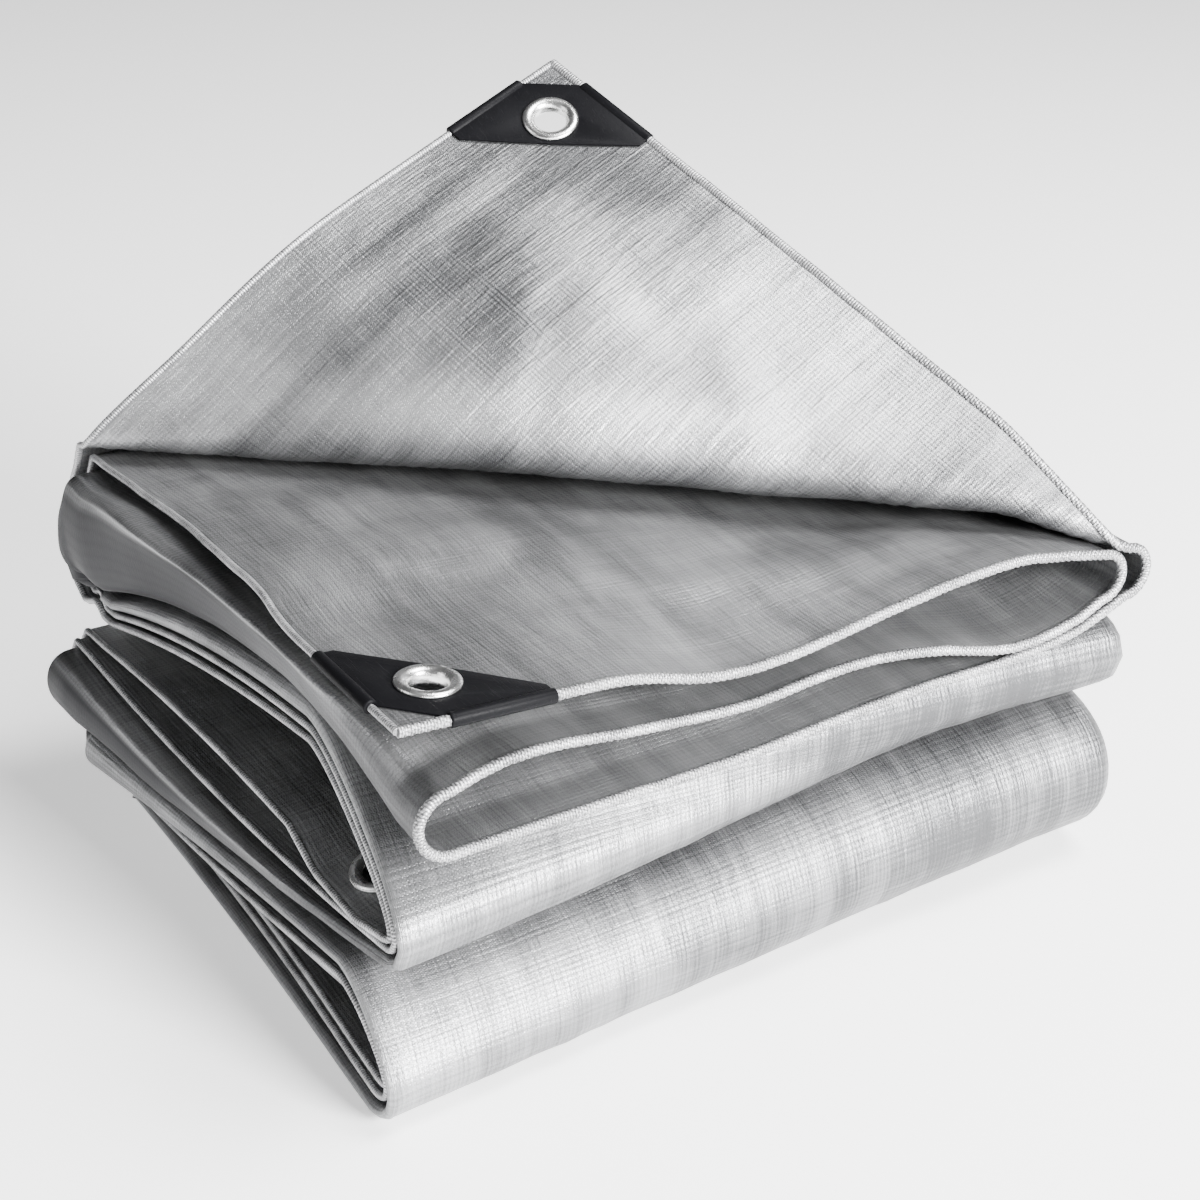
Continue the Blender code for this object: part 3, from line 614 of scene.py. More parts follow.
def puckers(place, item, x, y):
    """How far the cloth stands out of its smooth form at a place on the flat sheet."""
    rise = 0.0
    for height, wide, deep, degrees in rows_at(PUCKERS, place, item):
        a, b = turned_by(degrees, x, y)
        spot = Vector((a / wide, b / deep, PUCKER_SHIFT * place[0] + height))
        rise += height * noise.noise(spot * PUCKER_PITCH)
    if place[1]:
        rise *= math.sin(place[2])
    if len(item) == 3:
        rise *= math.sin(item[2])
    return rise


def puckered(points, spots, line, places, across, down):
    """Draw the sheet's points out into its puckers and soft folds, and give their painted
    highlights and painted shade.
    """
    normals = grid_normals(points)
    sheen = np.zeros(points.shape[:2])
    for i, place in enumerate(places):
        for j, item in enumerate(line):
            rise = puckers(place, item, across[j] / MM, down[i] / MM)
            if len(item) == 2:
                spot = on_layer(place, item, down[i])
                rise += soft_sum(CREASES, place, item, *spot)
                # Painted highlights and painted shade, from the painted light patches
                sheen[i, j] = soft_sum(PAINTED_LIGHT_PATCHES, place, item, *spot)
            if rise and (i, j) in spots:
                name, s, t = spots[i, j]
                rise *= ease((max(s, t) - CORNER_FLAT) / PUCKER_FADE)
            points[i, j] += normals[i, j] * rise
    return sheen


def dullness(place, item):
    """Painted shade on the faces of the left folds: how far they are painted dark for the shade
    they lie in, and made smoother and less metallic.
    """
    if item[0] != "DC" or place[0] not in SHADED_FOLD_LEVELS:
        return 0.0
    share = item[2] / math.pi
    far = 1.0 if place[1] else ease((place[2] - FOLD_SHADE_FROM) / FOLD_SHADE_OVER)
    dull = ease(share / FOLD_SHADE_RISE) * ease((FOLD_SHADE_END - share) / FOLD_SHADE_FALL)
    return (0.5 + 0.5 * far) * dull


def cloth_object(name, verts, faces, uv, **readings):
    """A smooth mesh with its places on the flat cloth and a reading or more for each point."""
    mesh = bpy.data.meshes.new(name)
    mesh.from_pydata([tuple(v) for v in verts], [], [tuple(f) for f in faces])
    flat = mesh.uv_layers.new(name="flat")
    for loop in mesh.loops:
        flat.data[loop.index].uv = uv[loop.vertex_index]
    for key, values in readings.items():
        mesh.attributes.new(key, "FLOAT", "POINT").data.foreach_set("value", values)
    for polygon in mesh.polygons:
        polygon.use_smooth = True
    bm = bmesh.new()
    bm.from_mesh(mesh)
    loose = [v for v in bm.verts if not v.link_faces]
    bmesh.ops.delete(bm, geom=loose, context="VERTS")
    bmesh.ops.recalc_face_normals(bm, faces=bm.faces)
    bm.to_mesh(mesh)
    bm.free()
    item = bpy.data.objects.new(name, mesh)
    bpy.context.scene.collection.objects.link(item)
    return item


def to_model(points):
    """Table millimetres to the frame's metres."""
    return (np.asarray(points) - (0.5 * WIDTH, 0.5 * LENGTH, 0.0)) * MM


def finished(item, look, nodes=()):
    """Give a piece its material, put it on the body and hide the CAD nodes it stands for."""
    item.data.materials.clear()
    item.data.materials.append(look)
    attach(item, "root")
    if nodes:
        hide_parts(*nodes)


def maths(operation, swapped=False):
    """An operator that adds a Math node to the material."""
    def reckon(self, other=0.0):
        pair = (other, self) if swapped else (self, other)
        return self.look.node("ShaderNodeMath", {"operation": operation}, dict(enumerate(pair)))
    return reckon


class Value:
    """An output of a material's node, which adds Math nodes as it is reckoned with."""

    def __init__(self, look, socket):
        self.look, self.socket = look, socket

    __add__ = __radd__ = maths("ADD")
    __mul__ = __rmul__ = maths("MULTIPLY")
    __sub__ = maths("SUBTRACT")
    __rsub__ = maths("SUBTRACT", swapped=True)
    sine = maths("SINE")
    size = maths("ABSOLUTE")

    def out(self, name):
        """Another output of the same node."""
        return Value(self.look, self.socket.node.outputs[name])

    def held(self):
        """The value kept between 0 and 1."""
        return self.look.node("ShaderNodeClamp", {}, {0: self})

    def step(self, low, high):
        """0 below low, 1 above high and smooth between."""
        return self.look.node("ShaderNodeMapRange", {"interpolation_type": "SMOOTHSTEP"},
                              {0: self, 1: low, 2: high})


class Look:
    """A material in the making."""

    def __init__(self, name, constants):
        self.material = bpy.data.materials.new(name)
        self.material.use_nodes = True
        self.tree = self.material.node_tree
        self.shader = self.tree.nodes["Principled BSDF"]
        for key, value in constants.items():
            self.shader.inputs[key].default_value = value

    def node(self, kind, settings, sockets):
        """A new node's first output, with its settings made and its sockets set or joined."""
        made = self.tree.nodes.new(kind)
        for key, value in settings.items():
            setattr(made, key, value)
        for key, value in sockets.items():
            self.join(made.inputs[key], value)
        return Value(self, made.outputs[0])

    def join(self, socket, value):
        if isinstance(value, Value):
            self.tree.links.new(value.socket, socket)
        else:
            socket.default_value = value

    def feed(self, name, value):
        """Lead a value into one of the shader's own sockets."""
        self.join(self.shader.inputs[name], value)

    def noise(self, vector, scale, detail=3.0, rough=0.5):
        return self.node("ShaderNodeTexNoise", {}, {"Vector": vector, "Scale": scale,
                                                    "Detail": detail, "Roughness": rough})

    def streaked(self, vector, stretch, detail, rough, turned=0.0):
        """A noise that is stretched and turned."""
        drawn = self.node("ShaderNodeMapping", {}, {"Vector": vector, "Scale": stretch,
                                                    "Rotation": (0.0, 0.0, turned)})
        return self.noise(drawn, 1.0, detail, rough)

    def painted(self, name):
        """A reading that the mesh carries at its points."""
        return self.node("ShaderNodeAttribute", {"attribute_name": name}, {}).out("Fac")

    def mixed(self, factor, first, second):
        """A mix of two colours."""
        made = self.node("ShaderNodeMix", {"data_type": "RGBA"}, {0: factor})
        for key, value in ((6, first), (7, second)):
            colour = value if isinstance(value, Value) else (*value, 1.0)
            self.join(made.socket.node.inputs[key], colour)
        return made.out(2)

    def dressed(self, colour, rough, height, relief):
        """Lead colour, roughness and relief to the shader, and give the finished material."""
        self.feed("Base Color", colour)
        self.feed("Roughness", rough)
        self.feed("Normal", self.node("ShaderNodeBump", {}, {
            "Height": height, "Distance": relief, "Strength": 1.0}))
        return self.material


# Depths of the finest relief, in metres
HEM_RELIEF = 0.00025
PATCH_RELIEF = 0.00012
METAL_RELIEF = 0.00008
# Shares of the full tone where the metal and the floor are duller
DULL_METAL = 0.72
DULL_FLOOR = 0.985


def flat_places(look):
    """A cloth piece's UV map, and its two ways in metres."""
    vector = look.node("ShaderNodeUVMap", {"uv_map": "flat"}, {})
    parts = look.node("ShaderNodeSeparateXYZ", {}, {0: vector})
    return vector, parts.out("X"), parts.out("Y")


def weave_height(x, y, pitch):
    """Height of a plain weave of flat tapes, from 0 to 1."""
    turn = 2.0 * math.pi / pitch
    a, b = (x * turn).sine(), (y * turn).sine()
    over = (a * b * 3.0 + 0.5).held()
    ribs_x = (x * (0.5 * turn)).sine().size()
    ribs_y = (y * (0.5 * turn)).sine().size()
    return over * ribs_x + (1.0 - over) * ribs_y


def silver_look(sizes):
    """The metallised woven cloth: weave, crossing scuffs, painted highlight and shade patches,
    painted shade on the left folds' faces, and creases.
    """
    look = Look("silver_cloth", {"Specular IOR Level": 0.12})
    vector, x, y = flat_places(look)
    weave = weave_height(x, y, sizes.weave_pitch)
    scuff_x = look.streaked(vector, (1000.0, 30.0, 1.0), 3.0, 0.65)
    scuff_y = look.streaked(vector, (34.0, 900.0, 1.0), 3.0, 0.65)
    patches = look.noise(vector, 15.0, 4.0, 0.55)
    streaks = look.streaked(vector, (60.0, 7.0, 1.0), 5.0, 0.6)
    grain = look.noise(vector, 1400.0, 2.0, 0.7)
    crease = look.streaked(vector, (75.0, 18.0, 1.0), 5.0, 0.65, math.radians(8.0))
    sharp = 1.0 - ((crease - 0.5) * 9.0).size().held()
    tone = (patches * 0.3 + streaks * 0.35 + scuff_x * 0.2 + scuff_y * 0.15).step(0.38, 0.64)
    speck = grain.step(0.6, 0.78)
    # darkened is painted shade on the left folds' faces: it mixes in a dark colour, and lowers the
    # metal and the relief
    dull, sheen = look.painted("dull"), look.painted("sheen")
    # sheen adds painted highlights and painted shade to the cloth's random tone, weave and specks
    shade = (tone * 0.42 + weave * 0.16 + speck * 0.18 + sheen * 0.5).held()
    woven = look.mixed(shade, sizes.cloth_dark, sizes.cloth_light)
    look.feed("Metallic", 0.9 - dull * 0.75)
    rough = 0.25 + dull * 0.15 + patches * 0.18 + (1.0 - weave) * 0.06 + grain * 0.1
    height = (weave * 0.26 + scuff_x * 0.5 + scuff_y * 0.5 + grain * 0.35 + streaks * 1.8
              + sharp * 0.45 + patches * 1.4)
    return look.dressed(look.mixed(dull, woven, sizes.fold_shade_colour), rough,
                        height * (1.0 - dull * 0.75), sizes.weave_height)


def hem_look(sizes):
    """The rolled hems: brighter, with painted shade darkening the twist's hollows."""
    look = Look("hem_silver", {"Metallic": 0.75})
    vector, x, _ = flat_places(look)
    grain = look.noise(vector, 900.0, 3.0, 0.6)
    wear = look.noise(vector, 60.0, 3.0, 0.6)
    threads = (x * (2.0 * math.pi / sizes.thread_pitch)).sine()
    hollow = look.painted("hollow")
    # Painted shade: the twist's hollows are painted with the dark hem colour
    tone = (grain * 0.4 + wear * 0.4 + threads * 0.08).step(0.2, 0.6) * (1.0 - hollow.step(0.4, 1))
    return look.dressed(look.mixed(tone, sizes.hem_dark, sizes.hem_light), 0.3 + grain * 0.2,
                        grain * 0.7 + threads * 0.3, HEM_RELIEF)


def object_look(name, constants):
    """A material that is laid out over the piece's own size, and its places."""
    look = Look(name, constants)
    return look, look.node("ShaderNodeTexCoord", {}, {}).out("Object")


def patch_look(sizes):
    """Black moulded plastic with a fine grain and faint scratches."""
    look, where = object_look("black_plastic", {"Metallic": 0.0, "Specular IOR Level": 0.04})
    grain = look.noise(where, 2600.0, 2.0, 0.5)
    smears = look.streaked(where, (60.0, 20.0, 40.0), 4.0, 0.6)
    lines = look.streaked(where, (1800.0, 60.0, 500.0), 2.0, 0.5, 0.7).step(0.62, 0.72)
    worn = (smears * 0.5 + lines * 0.25).held()
    return look.dressed(look.mixed(worn, sizes.patch_colour, sizes.worn_colour),
                        0.28 + smears * 0.22, grain * 0.6 - lines * 0.5, PATCH_RELIEF)


def metal_look(sizes):
    """Pressed aluminium, a little scuffed."""
    look, where = object_look("aluminium", {"Metallic": 1.0})
    grain = look.noise(where, 1400.0, 3.0, 0.6)
    smears = look.noise(where, 120.0, 4.0, 0.6)
    dull = [DULL_METAL * v for v in sizes.metal_colour]
    return look.dressed(look.mixed(smears, dull, sizes.metal_colour), 0.16 + smears * 0.22,
                        grain, METAL_RELIEF)


def floor_look(sizes):
    """A plain pale floor that glows a little, as a lit studio's does."""
    base = sizes.floor_colour
    look, where = object_look("pale_floor", {
        "Roughness": 0.55, "Emission Color": (*base, 1.0), "Emission Strength": FLOOR_GLOW})
    tone = look.noise(where, 2.0, 2.0, 0.5)
    look.feed("Base Color", look.mixed(tone, base, [DULL_FLOOR * v for v in base]))
    return look.material


def length(name, description, default):
    return bpy.props.FloatProperty(name=name, description=description, default=default,
                                   unit="LENGTH")


def colour(name, description, *default):
    return bpy.props.FloatVectorProperty(name=name, description="Colour of " + description,
                                         default=default, subtype="COLOR")


class TarpSizes(bpy.types.PropertyGroup):
    """Sizes and colours of the folded tarp"""

    cloth_thick: length("Cloth", "Thickness of the cloth", 0.0009)
    front_hem: length("Front hem", "Radius of the roped hem", 0.0021)
    side_hem: length("Side hem", "Radius of the plain side hem", 0.0015)
    twist_pitch: length("Twist", "Length of one full turn of the rope in the hem", 0.018)
    thread_pitch: length("Thread", "Spacing of the hem's threads", 0.0012)
    weave_pitch: length("Weave", "Spacing of two tapes of the weave", 0.0019)
    weave_height: length("Weave height", "Height of the weave and creases", 0.00035)
    flange_radius: length("Eyelet", "Outer radius of an eyelet", 0.012)
    hole_radius: length("Eyelet hole", "Radius of an eyelet's hole", 0.0068)
    patch_plate: length("Patch plate", "Thickness of a patch's plate", 0.0009)
    # The bright and dull cloth colours are mixed by random tone, the weave, specks, and the
    # painted highlights and painted shade
    cloth_light: colour("Bright cloth", "the cloth where it is bright", 0.62, 0.623, 0.632)
    cloth_dark: colour("Dull cloth", "the cloth where it is dull", 0.09, 0.091, 0.094)
    # Painted shade: the dark colour of the left folds' faces
    fold_shade_colour: colour("Smooth cloth", "the left folds' smooth faces", 0.025, 0.025, 0.027)
    hem_light: colour("Bright hem", "the hems where they are bright", 0.62, 0.62, 0.63)
    # The dark hem colour is both the hems' random darker tone and the painted shade in the twist's
    # hollows
    hem_dark: colour("Dull hem", "the hems where they are dull", 0.07, 0.07, 0.073)
    patch_colour: colour("Patch colour", "the corner patches", 0.002, 0.002, 0.0025)
    worn_colour: colour("Worn patch", "the patches' smears and scratches", 0.01, 0.01, 0.011)
    metal_colour: colour("Metal", "the eyelets", 0.93, 0.93, 0.92)
    floor_colour: colour("Floor", "the floor", 0.93, 0.93, 0.93)


def rounded_hole(points, spots):
    """Cells to leave out for each eyelet, with the points round the hole drawn onto a circle."""
    rows, columns = points.shape[:2]
    left_out = set()
    for i in range(rows - 1):
        for j in range(columns - 1):
            corner = spots.get((i, j)), spots.get((i + 1, j + 1))
            if None in corner:
                continue
            (name, s0, t0), (_, s1, t1) = corner
            cs, ct = EYELETS[name]
            if math.hypot(0.5 * (s0 + s1) - cs, 0.5 * (t0 + t1) - ct) < CLOTH_HOLE:
                left_out.add((i, j))
    rim = {(i + a, j + b) for i, j in left_out for a in (0, 1) for b in (0, 1)}
    for i, j in rim:
        cells = {(i - a, j - b) for a in (0, 1) for b in (0, 1)}
        if cells <= left_out:
            continue
        name, s, t = spots[i, j]
        cs, ct = EYELETS[name]
        reach = math.hypot(s - cs, t - ct)
        s, t = (c + (v - c) * CLOTH_HOLE / reach for v, c in ((s, cs), (t, ct)))
        points[i, j] = FRAMES[name] @ Vector((s, t, 0.0))
    return left_out


# How deep the rope's hollows are, and a plain hem's, in shares of the hem's radius
ROPE_DEPTH = 0.3
PLAIN_DEPTH = 0.08
ROPE_RIDGES = 6
# The turned corner's hem is plain, and turns to rope over this stretch from the corner's tip
ROPE_FROM = 150.0
ROPE_OVER = 110.0

# The swept hems, along the four edges of the sheet's grid
# Columns: name, rows and columns of the grid, step in metres, sides, the size that gives its
# radius, depth of its twist
WHOLE = slice(None)
HEMS = (
    ("front_hem", (0, WHOLE), 0.0009, 24, "front_hem", ROPE_DEPTH),
    ("side_hem_a", (WHOLE, 0), 0.0013, 12, "side_hem", PLAIN_DEPTH),
    ("side_hem_b", (WHOLE, -1), 0.0013, 12, "side_hem", PLAIN_DEPTH),
    ("last_hem", (-1, WHOLE), 0.003, 8, "side_hem", PLAIN_DEPTH),
)


def swept(path, radius, sides, turn_length, depth):
    """A tube along a path, its surface wound into ridges.

    Gives its points, faces, places on the flat cloth and how far each point lies in a hollow.
    """
    path = np.asarray(path)
    count = len(path)
    run = np.gradient(path, axis=0)
    run /= np.linalg.norm(run, axis=1, keepdims=True)
    travel = summed(step_lengths(path, 0))
    side = np.cross(run[0], (0.0, 0.0, 1.0))
    if np.linalg.norm(side) < 0.1:
        side = np.cross(run[0], (0.0, 1.0, 0.0))
    verts, flat, hollows = [], [], []
    for k in range(count):
        side = side - run[k] * side.dot(run[k])
        side /= np.linalg.norm(side)
        other = np.cross(run[k], side)
        for m in range(sides):
            angle = 2.0 * math.pi * m / sides
            wound = angle - 2.0 * math.pi * travel[k] / turn_length
            hollow = 1.0 - abs(math.sin(0.5 * ROPE_RIDGES * wound))
            reach = radius * (1.0 - depth[k] * hollow)
            verts.append(path[k] + (side * math.cos(angle) + other * math.sin(angle)) * reach)
            flat.append((travel[k], 2.0 * math.pi * radius * m / sides))
            hollows.append(hollow * min(depth[k] / ROPE_DEPTH, 1.0))
    faces = []
    for k in range(count - 1):
        for m in range(sides):
            n = (m + 1) % sides
            faces.append((k * sides + m, k * sides + n, (k + 1) * sides + n, (k + 1) * sides + m))
    faces.append(tuple(reversed(range(sides))))
    faces.append(tuple(range((count - 1) * sides, count * sides)))
    return verts, faces, flat, hollows


def resampled(path, step):
    """A path with its points evenly spaced."""
    path = np.asarray(path)
    travel = summed(step_lengths(path, 0))
    count = max(int(travel[-1] / step), 2)
    places = np.linspace(0.0, travel[-1], count + 1)
    return np.stack([np.interp(places, travel, path[:, k]) for k in range(3)], axis=1)


class FOLDED_TARP_OT_sheet(bpy.types.Operator):
    """Fold the sheet into its pile, with its hems"""

    bl_idname = "folded_tarp.sheet"
    bl_label = "Folded sheet"

    def execute(self, context):
        sizes = context.scene.folded_tarp
        points, spots, line, places = sheet_grid()
        left_out = rounded_hole(points, spots)
        across, down = flat_steps(points)
        sheen = puckered(points, spots, line, places, across, down)
        model = to_model(points)
        rows, columns = points.shape[:2]
        faces = [(i * columns + j, i * columns + j + 1, (i + 1) * columns + j + 1,
                  (i + 1) * columns + j)
                 for i in range(rows - 1) for j in range(columns - 1) if (i, j) not in left_out]
        sheet = cloth_object(
            "folded_sheet", model.reshape(-1, 3), faces,
            [(across[j], down[i]) for i in range(rows) for j in range(columns)],
            # Point readings: painted shade on the left folds' faces, and painted highlights and
            # shade over the sheet
            dull=[dullness(place, item) for place in places for item in line],
            sheen=sheen.ravel())
        wall = sheet.modifiers.new("Cloth", "SOLIDIFY")
        wall.thickness = sizes.cloth_thick
        wall.offset = 0.0
        finished(sheet, silver_look(sizes), SHEET_NODES)
        context.scene["tarp_flat"] = (float(across[-1]), float(down[-1]))
        look = hem_look(sizes)
        for name, edge, step, sides, size, depth in HEMS:
            radius = getattr(sizes, size)
            path = resampled(model[edge], step)
            path[:, 2] = np.maximum(path[:, 2], radius)
            depths = [depth] * len(path)
            if depth == ROPE_DEPTH:
                depths = [PLAIN_DEPTH + (depth - PLAIN_DEPTH)
                          * ease((k * step / MM - ROPE_FROM) / ROPE_OVER)
                          for k in range(len(path))]
            verts, hem_faces, flat, hollows = swept(path, radius, sides, sizes.twist_pitch,
                                                    depths)
            hem = cloth_object(name, verts, hem_faces, flat, hollow=hollows)
            finished(hem, look)
        return {"FINISHED"}


def select_only(*items):
    """Select pieces, the first one active."""
    bpy.ops.object.select_all(action="DESELECT")
    for item in items:
        item.select_set(True)
    bpy.context.view_layer.objects.active = items[0]


def softened(item, width):
    """Round a piece's sharp edges."""
    select_only(item)
    soft = item.modifiers.new("Soft", "BEVEL")
    soft.width = width
    soft.segments = 3
    soft.limit_method = "ANGLE"
    bpy.ops.object.modifier_apply(modifier=soft.name)


def outlined(points, fill):
    """A closed outline, in edit mode with all of it selected."""
    bpy.ops.mesh.primitive_circle_add(vertices=len(points), fill_type=fill)
    item = bpy.context.object
    for vert, place in zip(item.data.vertices, points):
        vert.co = place
    bpy.ops.object.mode_set(mode="EDIT")
    bpy.ops.mesh.select_all(action="SELECT")
    return item


def faced_outwards():
    """Turn the edited piece's faces outwards and leave edit mode."""
    bpy.ops.mesh.select_all(action="SELECT")
    bpy.ops.mesh.normals_make_consistent(inside=False)
    bpy.ops.object.mode_set(mode="OBJECT")


def smoothed(item, degrees):
    """Shade a piece smooth, apart from its edges that are sharper than an angle."""
    select_only(item)
    bpy.ops.object.shade_smooth_by_angle(angle=math.radians(degrees))


def settle(item, place):
    """Move a piece made about its own frame to that frame, and set it into its mesh."""
    move = place.copy()
    move.translation = Vector(to_model(place.translation))
    item.data.transform(move)
    item.data.update()


# Outline of a corner patch on its flat frame
PATCH_OUTLINE = ((PATCH_CLIP, 0.0), (PATCH_LEG, 0.0), (PATCH_LEG, PATCH_END),
                 (PATCH_BOW, PATCH_BOW), (PATCH_END, PATCH_LEG), (0.0, PATCH_LEG),
                 (0.0, PATCH_CLIP))
PATCH_SOFT = 0.35
PATCH_ROLL = 2.75
PATCH_GAP = 0.3
PATCH_SIDES = 24
HOLE_SIDES = 48
CUTTER_DEPTH = 20.0
# Sharpest angles that are shaded smooth, in degrees
PATCH_SMOOTH = 40.0
EYELET_SMOOTH = 50.0


class FOLDED_TARP_OT_patches(bpy.types.Operator):
    """Mould the two black corner patches"""

    bl_idname = "folded_tarp.patches"
    bl_label = "Corner patches"

    def plate(self, sizes, side):
        """One plate of a patch, above or below the cloth."""
        low = side * (0.5 * sizes.cloth_thick + PATCH_GAP * MM)
        plate = outlined([(s * MM, t * MM, low) for s, t in PATCH_OUTLINE], "NGON")
        bpy.ops.mesh.extrude_region_move(
            TRANSFORM_OT_translate={"value": (0.0, 0.0, side * sizes.patch_plate)})
        faced_outwards()
        bpy.ops.mesh.primitive_cylinder_add(
            vertices=HOLE_SIDES, radius=CLOTH_HOLE * MM, depth=CUTTER_DEPTH * MM,
            location=(EYELET_INSET * MM, EYELET_INSET * MM, 0.0))
        cutter = bpy.context.object
        select_only(plate)
        hole = plate.modifiers.new("Hole", "BOOLEAN")
        hole.operation = "DIFFERENCE"
        hole.solver = "EXACT"
        hole.object = cutter
        bpy.ops.object.modifier_apply(modifier=hole.name)
        bpy.data.objects.remove(cutter, do_unlink=True)
        softened(plate, PATCH_SOFT * MM)
        return plate

    def roll(self, turned):
        """The rounded edge of a patch, wrapped round one hem."""
        length = (PATCH_LEG - PATCH_CLIP) * MM
        middle = 0.5 * (PATCH_LEG + PATCH_CLIP) * MM
        place = (0.0, middle, 0.0) if turned else (middle, 0.0, 0.0)
        turn = (math.radians(90.0), 0.0, 0.0) if turned else (0.0, math.radians(90.0), 0.0)
        bpy.ops.mesh.primitive_cylinder_add(vertices=PATCH_SIDES, radius=PATCH_ROLL * MM,
                                            depth=length, location=place, rotation=turn)
        roll = bpy.context.object
        bpy.ops.object.transform_apply(location=True, rotation=True, scale=True)
        softened(roll, 2.0 * PATCH_SOFT * MM)
        return roll

    def execute(self, context):
        sizes = context.scene.folded_tarp
        look = patch_look(sizes)
        for layer, where in (("A", "raised"), ("B", "near")):
            parts = [self.plate(sizes, 1), self.plate(sizes, -1), self.roll(False),
                     self.roll(True)]
            select_only(*parts)
            bpy.ops.object.join()
            patch = parts[0]
            patch.name = "patch_" + where
            settle(patch, FRAMES[layer])
            smoothed(patch, PATCH_SMOOTH)
            finished(patch, look, ("corner_patch_" + where,))
        return {"FINISHED"}


# Half the outline of an eyelet's cross-section, in shares of its flange's width and in mm
# Columns: share from the hole to the rim, height over what it is pressed on
EYELET_PROFILE = ((1.0, 0.0), (1.0, 0.35), (0.96, 0.75), (0.86, 1.15), (0.72, 1.4),
                  (0.56, 1.45), (0.4, 1.25), (0.24, 0.8), (0.1, 0.1), (0.02, -0.8))
EYELET_NECK = 0.8
EYELET_STEPS = 64
WELD = 0.00001


class FOLDED_TARP_OT_eyelets(bpy.types.Operator):
    """Press in the three eyelets"""

    bl_idname = "folded_tarp.eyelets"
    bl_label = "Eyelets"

    def eyelet(self, sizes, stack):
        """One eyelet, spun from its cross-section about its own axis."""
        half = 0.5 * stack + PATCH_GAP * MM
        inner, wide = sizes.hole_radius, sizes.flange_radius - sizes.hole_radius
        upper = [(inner + share * wide, half + rise * MM) for share, rise in EYELET_PROFILE]
        lower = [(r, -z) for r, z in reversed(upper)]
        neck = [(inner + EYELET_NECK * MM, -half), (inner + EYELET_NECK * MM, half)]
        section = upper + lower + neck
        ring = outlined([(r, 0.0, z) for r, z in section], "NOTHING")
        bpy.ops.mesh.spin(steps=EYELET_STEPS, angle=2.0 * math.pi, center=(0.0, 0.0, 0.0),
                          axis=(0.0, 0.0, 1.0))
        bpy.ops.mesh.select_all(action="SELECT")
        bpy.ops.mesh.remove_doubles(threshold=WELD)
        faced_outwards()
        return ring

    def execute(self, context):
        sizes = context.scene.folded_tarp
        look = metal_look(sizes)
        patched = sizes.cloth_thick + 2.0 * (PATCH_GAP * MM + sizes.patch_plate)
        for name, key, stack in (("raised", "A", patched), ("near", "B", patched),
                                 ("hem", "hem", sizes.cloth_thick)):
            ring = self.eyelet(sizes, stack)
            ring.name = "ring_" + name
            s, t = EYELETS[key]
            settle(ring, FRAMES[key] @ Matrix.Translation((s, t, 0.0)))
            smoothed(ring, EYELET_SMOOTH)
            finished(ring, look, ("eyelet_" + name,))
        return {"FINISHED"}


# Studio lights, all aimed at one point
# Columns: name, place, width, height, power in watts
LIGHTS = (
    ("key", (0.5, -2.0, 0.95), 0.8, 0.8, 300.0),
    ("top", (0.75, -0.45, 1.9), 0.9, 0.9, 95.0),
    ("front", (-1.0, -2.2, 0.35), 0.9, 0.5, 30.0),
    ("left", (-1.9, 0.3, 1.2), 1.1, 1.1, 14.0),
)
LIGHTS_AIM = (0.0, 0.0, 0.1)
FLOOR_SIZE = 14.0
FLOOR_GLOW = 0.7
WORLD_TONE = (0.9, 0.9, 0.92, 1.0)
WORLD_STRENGTH = 0.1


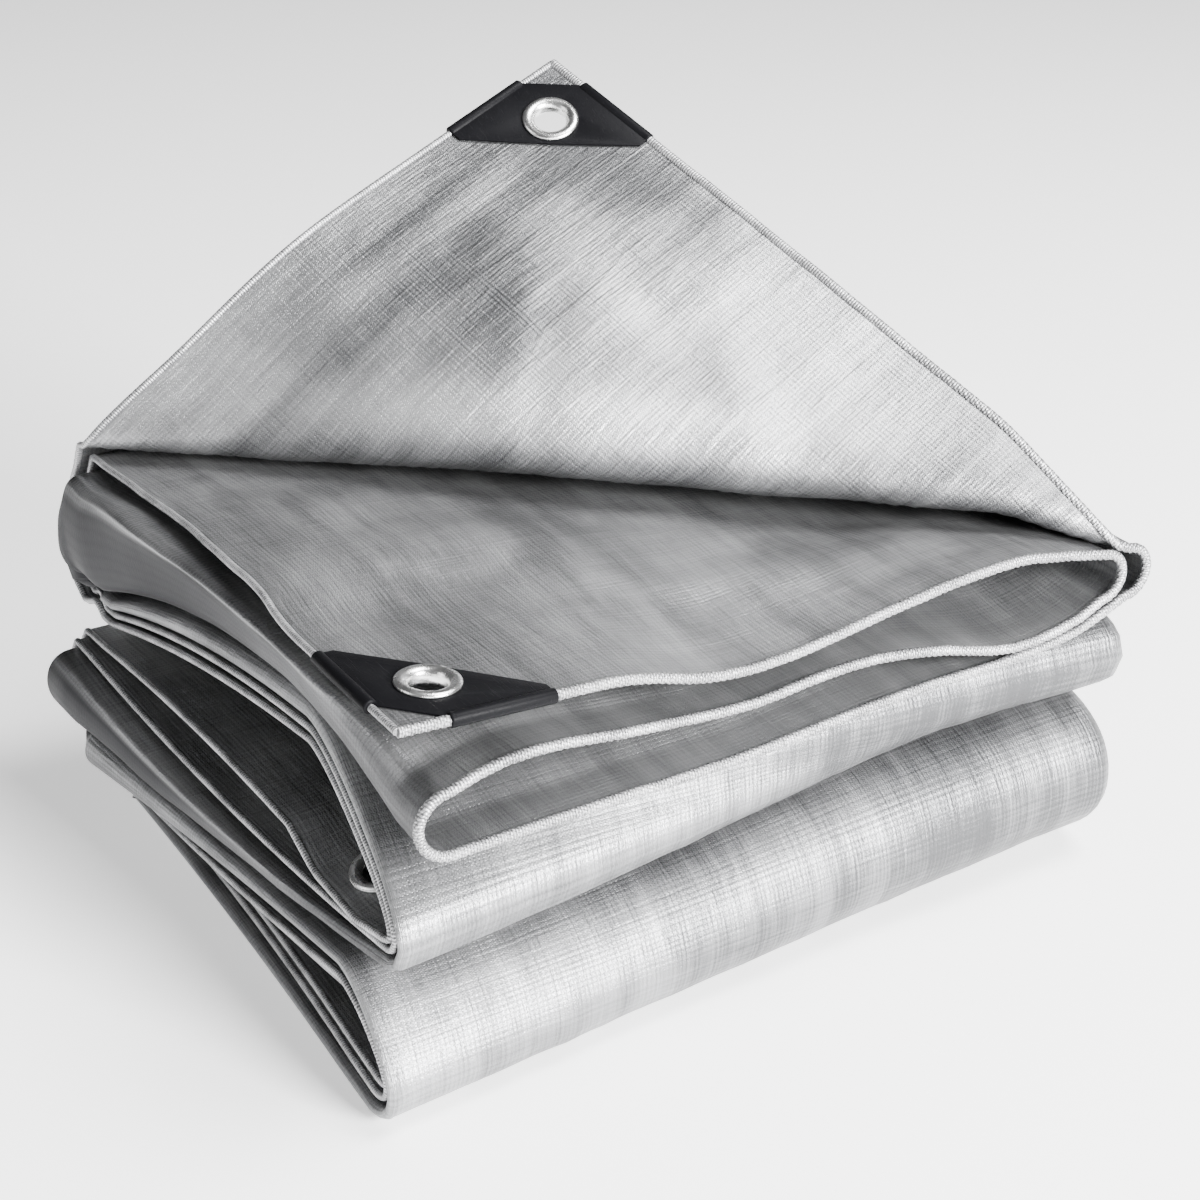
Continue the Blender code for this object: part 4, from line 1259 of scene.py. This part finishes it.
class FOLDED_TARP_OT_stage(bpy.types.Operator):
    """Lay the floor and place the lights and the camera"""

    bl_idname = "folded_tarp.stage"
    bl_label = "Stage"

    def execute(self, context):
        sizes = context.scene.folded_tarp
        bpy.ops.mesh.primitive_plane_add(size=FLOOR_SIZE, location=(0.0, 0.0, 0.0))
        floor = bpy.context.object
        floor.name = "floor"
        floor.data.materials.append(floor_look(sizes))
        for name, place, wide, high, power in LIGHTS:
            light = bpy.data.lights.new(name, "AREA")
            light.shape = "RECTANGLE"
            light.size, light.size_y = wide, high
            light.energy = power
            lamp = bpy.data.objects.new(name, light)
            lamp.location = place
            beam = Vector(LIGHTS_AIM) - Vector(place)
            lamp.rotation_euler = beam.to_track_quat("-Z", "Y").to_euler()
            context.scene.collection.objects.link(lamp)
        world = bpy.data.worlds.new("studio")
        world.use_nodes = True
        back = world.node_tree.nodes["Background"]
        back.inputs["Color"].default_value = WORLD_TONE
        back.inputs["Strength"].default_value = WORLD_STRENGTH
        context.scene.world = world
        camera = bpy.data.objects.new("camera", bpy.data.cameras.new("camera"))
        camera.data.lens = CAMERA_LENS
        camera.data.sensor_width = CAMERA_SENSOR
        right, up = Vector(CAMERA_RIGHT), Vector(CAMERA_UP)
        turn = Matrix((right, up, right.cross(up))).transposed().to_4x4()
        turn.translation = Vector(to_model(CAMERA_PLACE))
        camera.matrix_world = turn
        context.scene.collection.objects.link(camera)
        context.scene.camera = camera
        return {"FINISHED"}


class FOLDED_TARP_PT_panel(bpy.types.Panel):
    """Builds the folded tarp piece by piece"""

    bl_idname = "FOLDED_TARP_PT_panel"
    bl_label = "Folded tarp"
    bl_space_type = "VIEW_3D"
    bl_region_type = "UI"
    bl_category = "Folded tarp"

    def draw(self, context):
        sizes = context.scene.folded_tarp
        for name in TarpSizes.__annotations__:
            self.layout.prop(sizes, name)
        for operator in OPERATORS:
            self.layout.operator(operator.bl_idname)


OPERATORS = (FOLDED_TARP_OT_sheet, FOLDED_TARP_OT_patches, FOLDED_TARP_OT_eyelets,
             FOLDED_TARP_OT_stage)
CLASSES = (TarpSizes, *OPERATORS, FOLDED_TARP_PT_panel)


def register():
    for item in CLASSES:
        bpy.utils.register_class(item)
    bpy.types.Scene.folded_tarp = bpy.props.PointerProperty(type=TarpSizes)


def unregister():
    del bpy.types.Scene.folded_tarp
    for item in reversed(CLASSES):
        bpy.utils.unregister_class(item)


def main():
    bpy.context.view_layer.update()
    register()
    bpy.ops.folded_tarp.sheet()
    bpy.ops.folded_tarp.patches()
    bpy.ops.folded_tarp.eyelets()
    bpy.ops.folded_tarp.stage()
    bpy.context.view_layer.update()


if __name__ == "__main__":
    main()
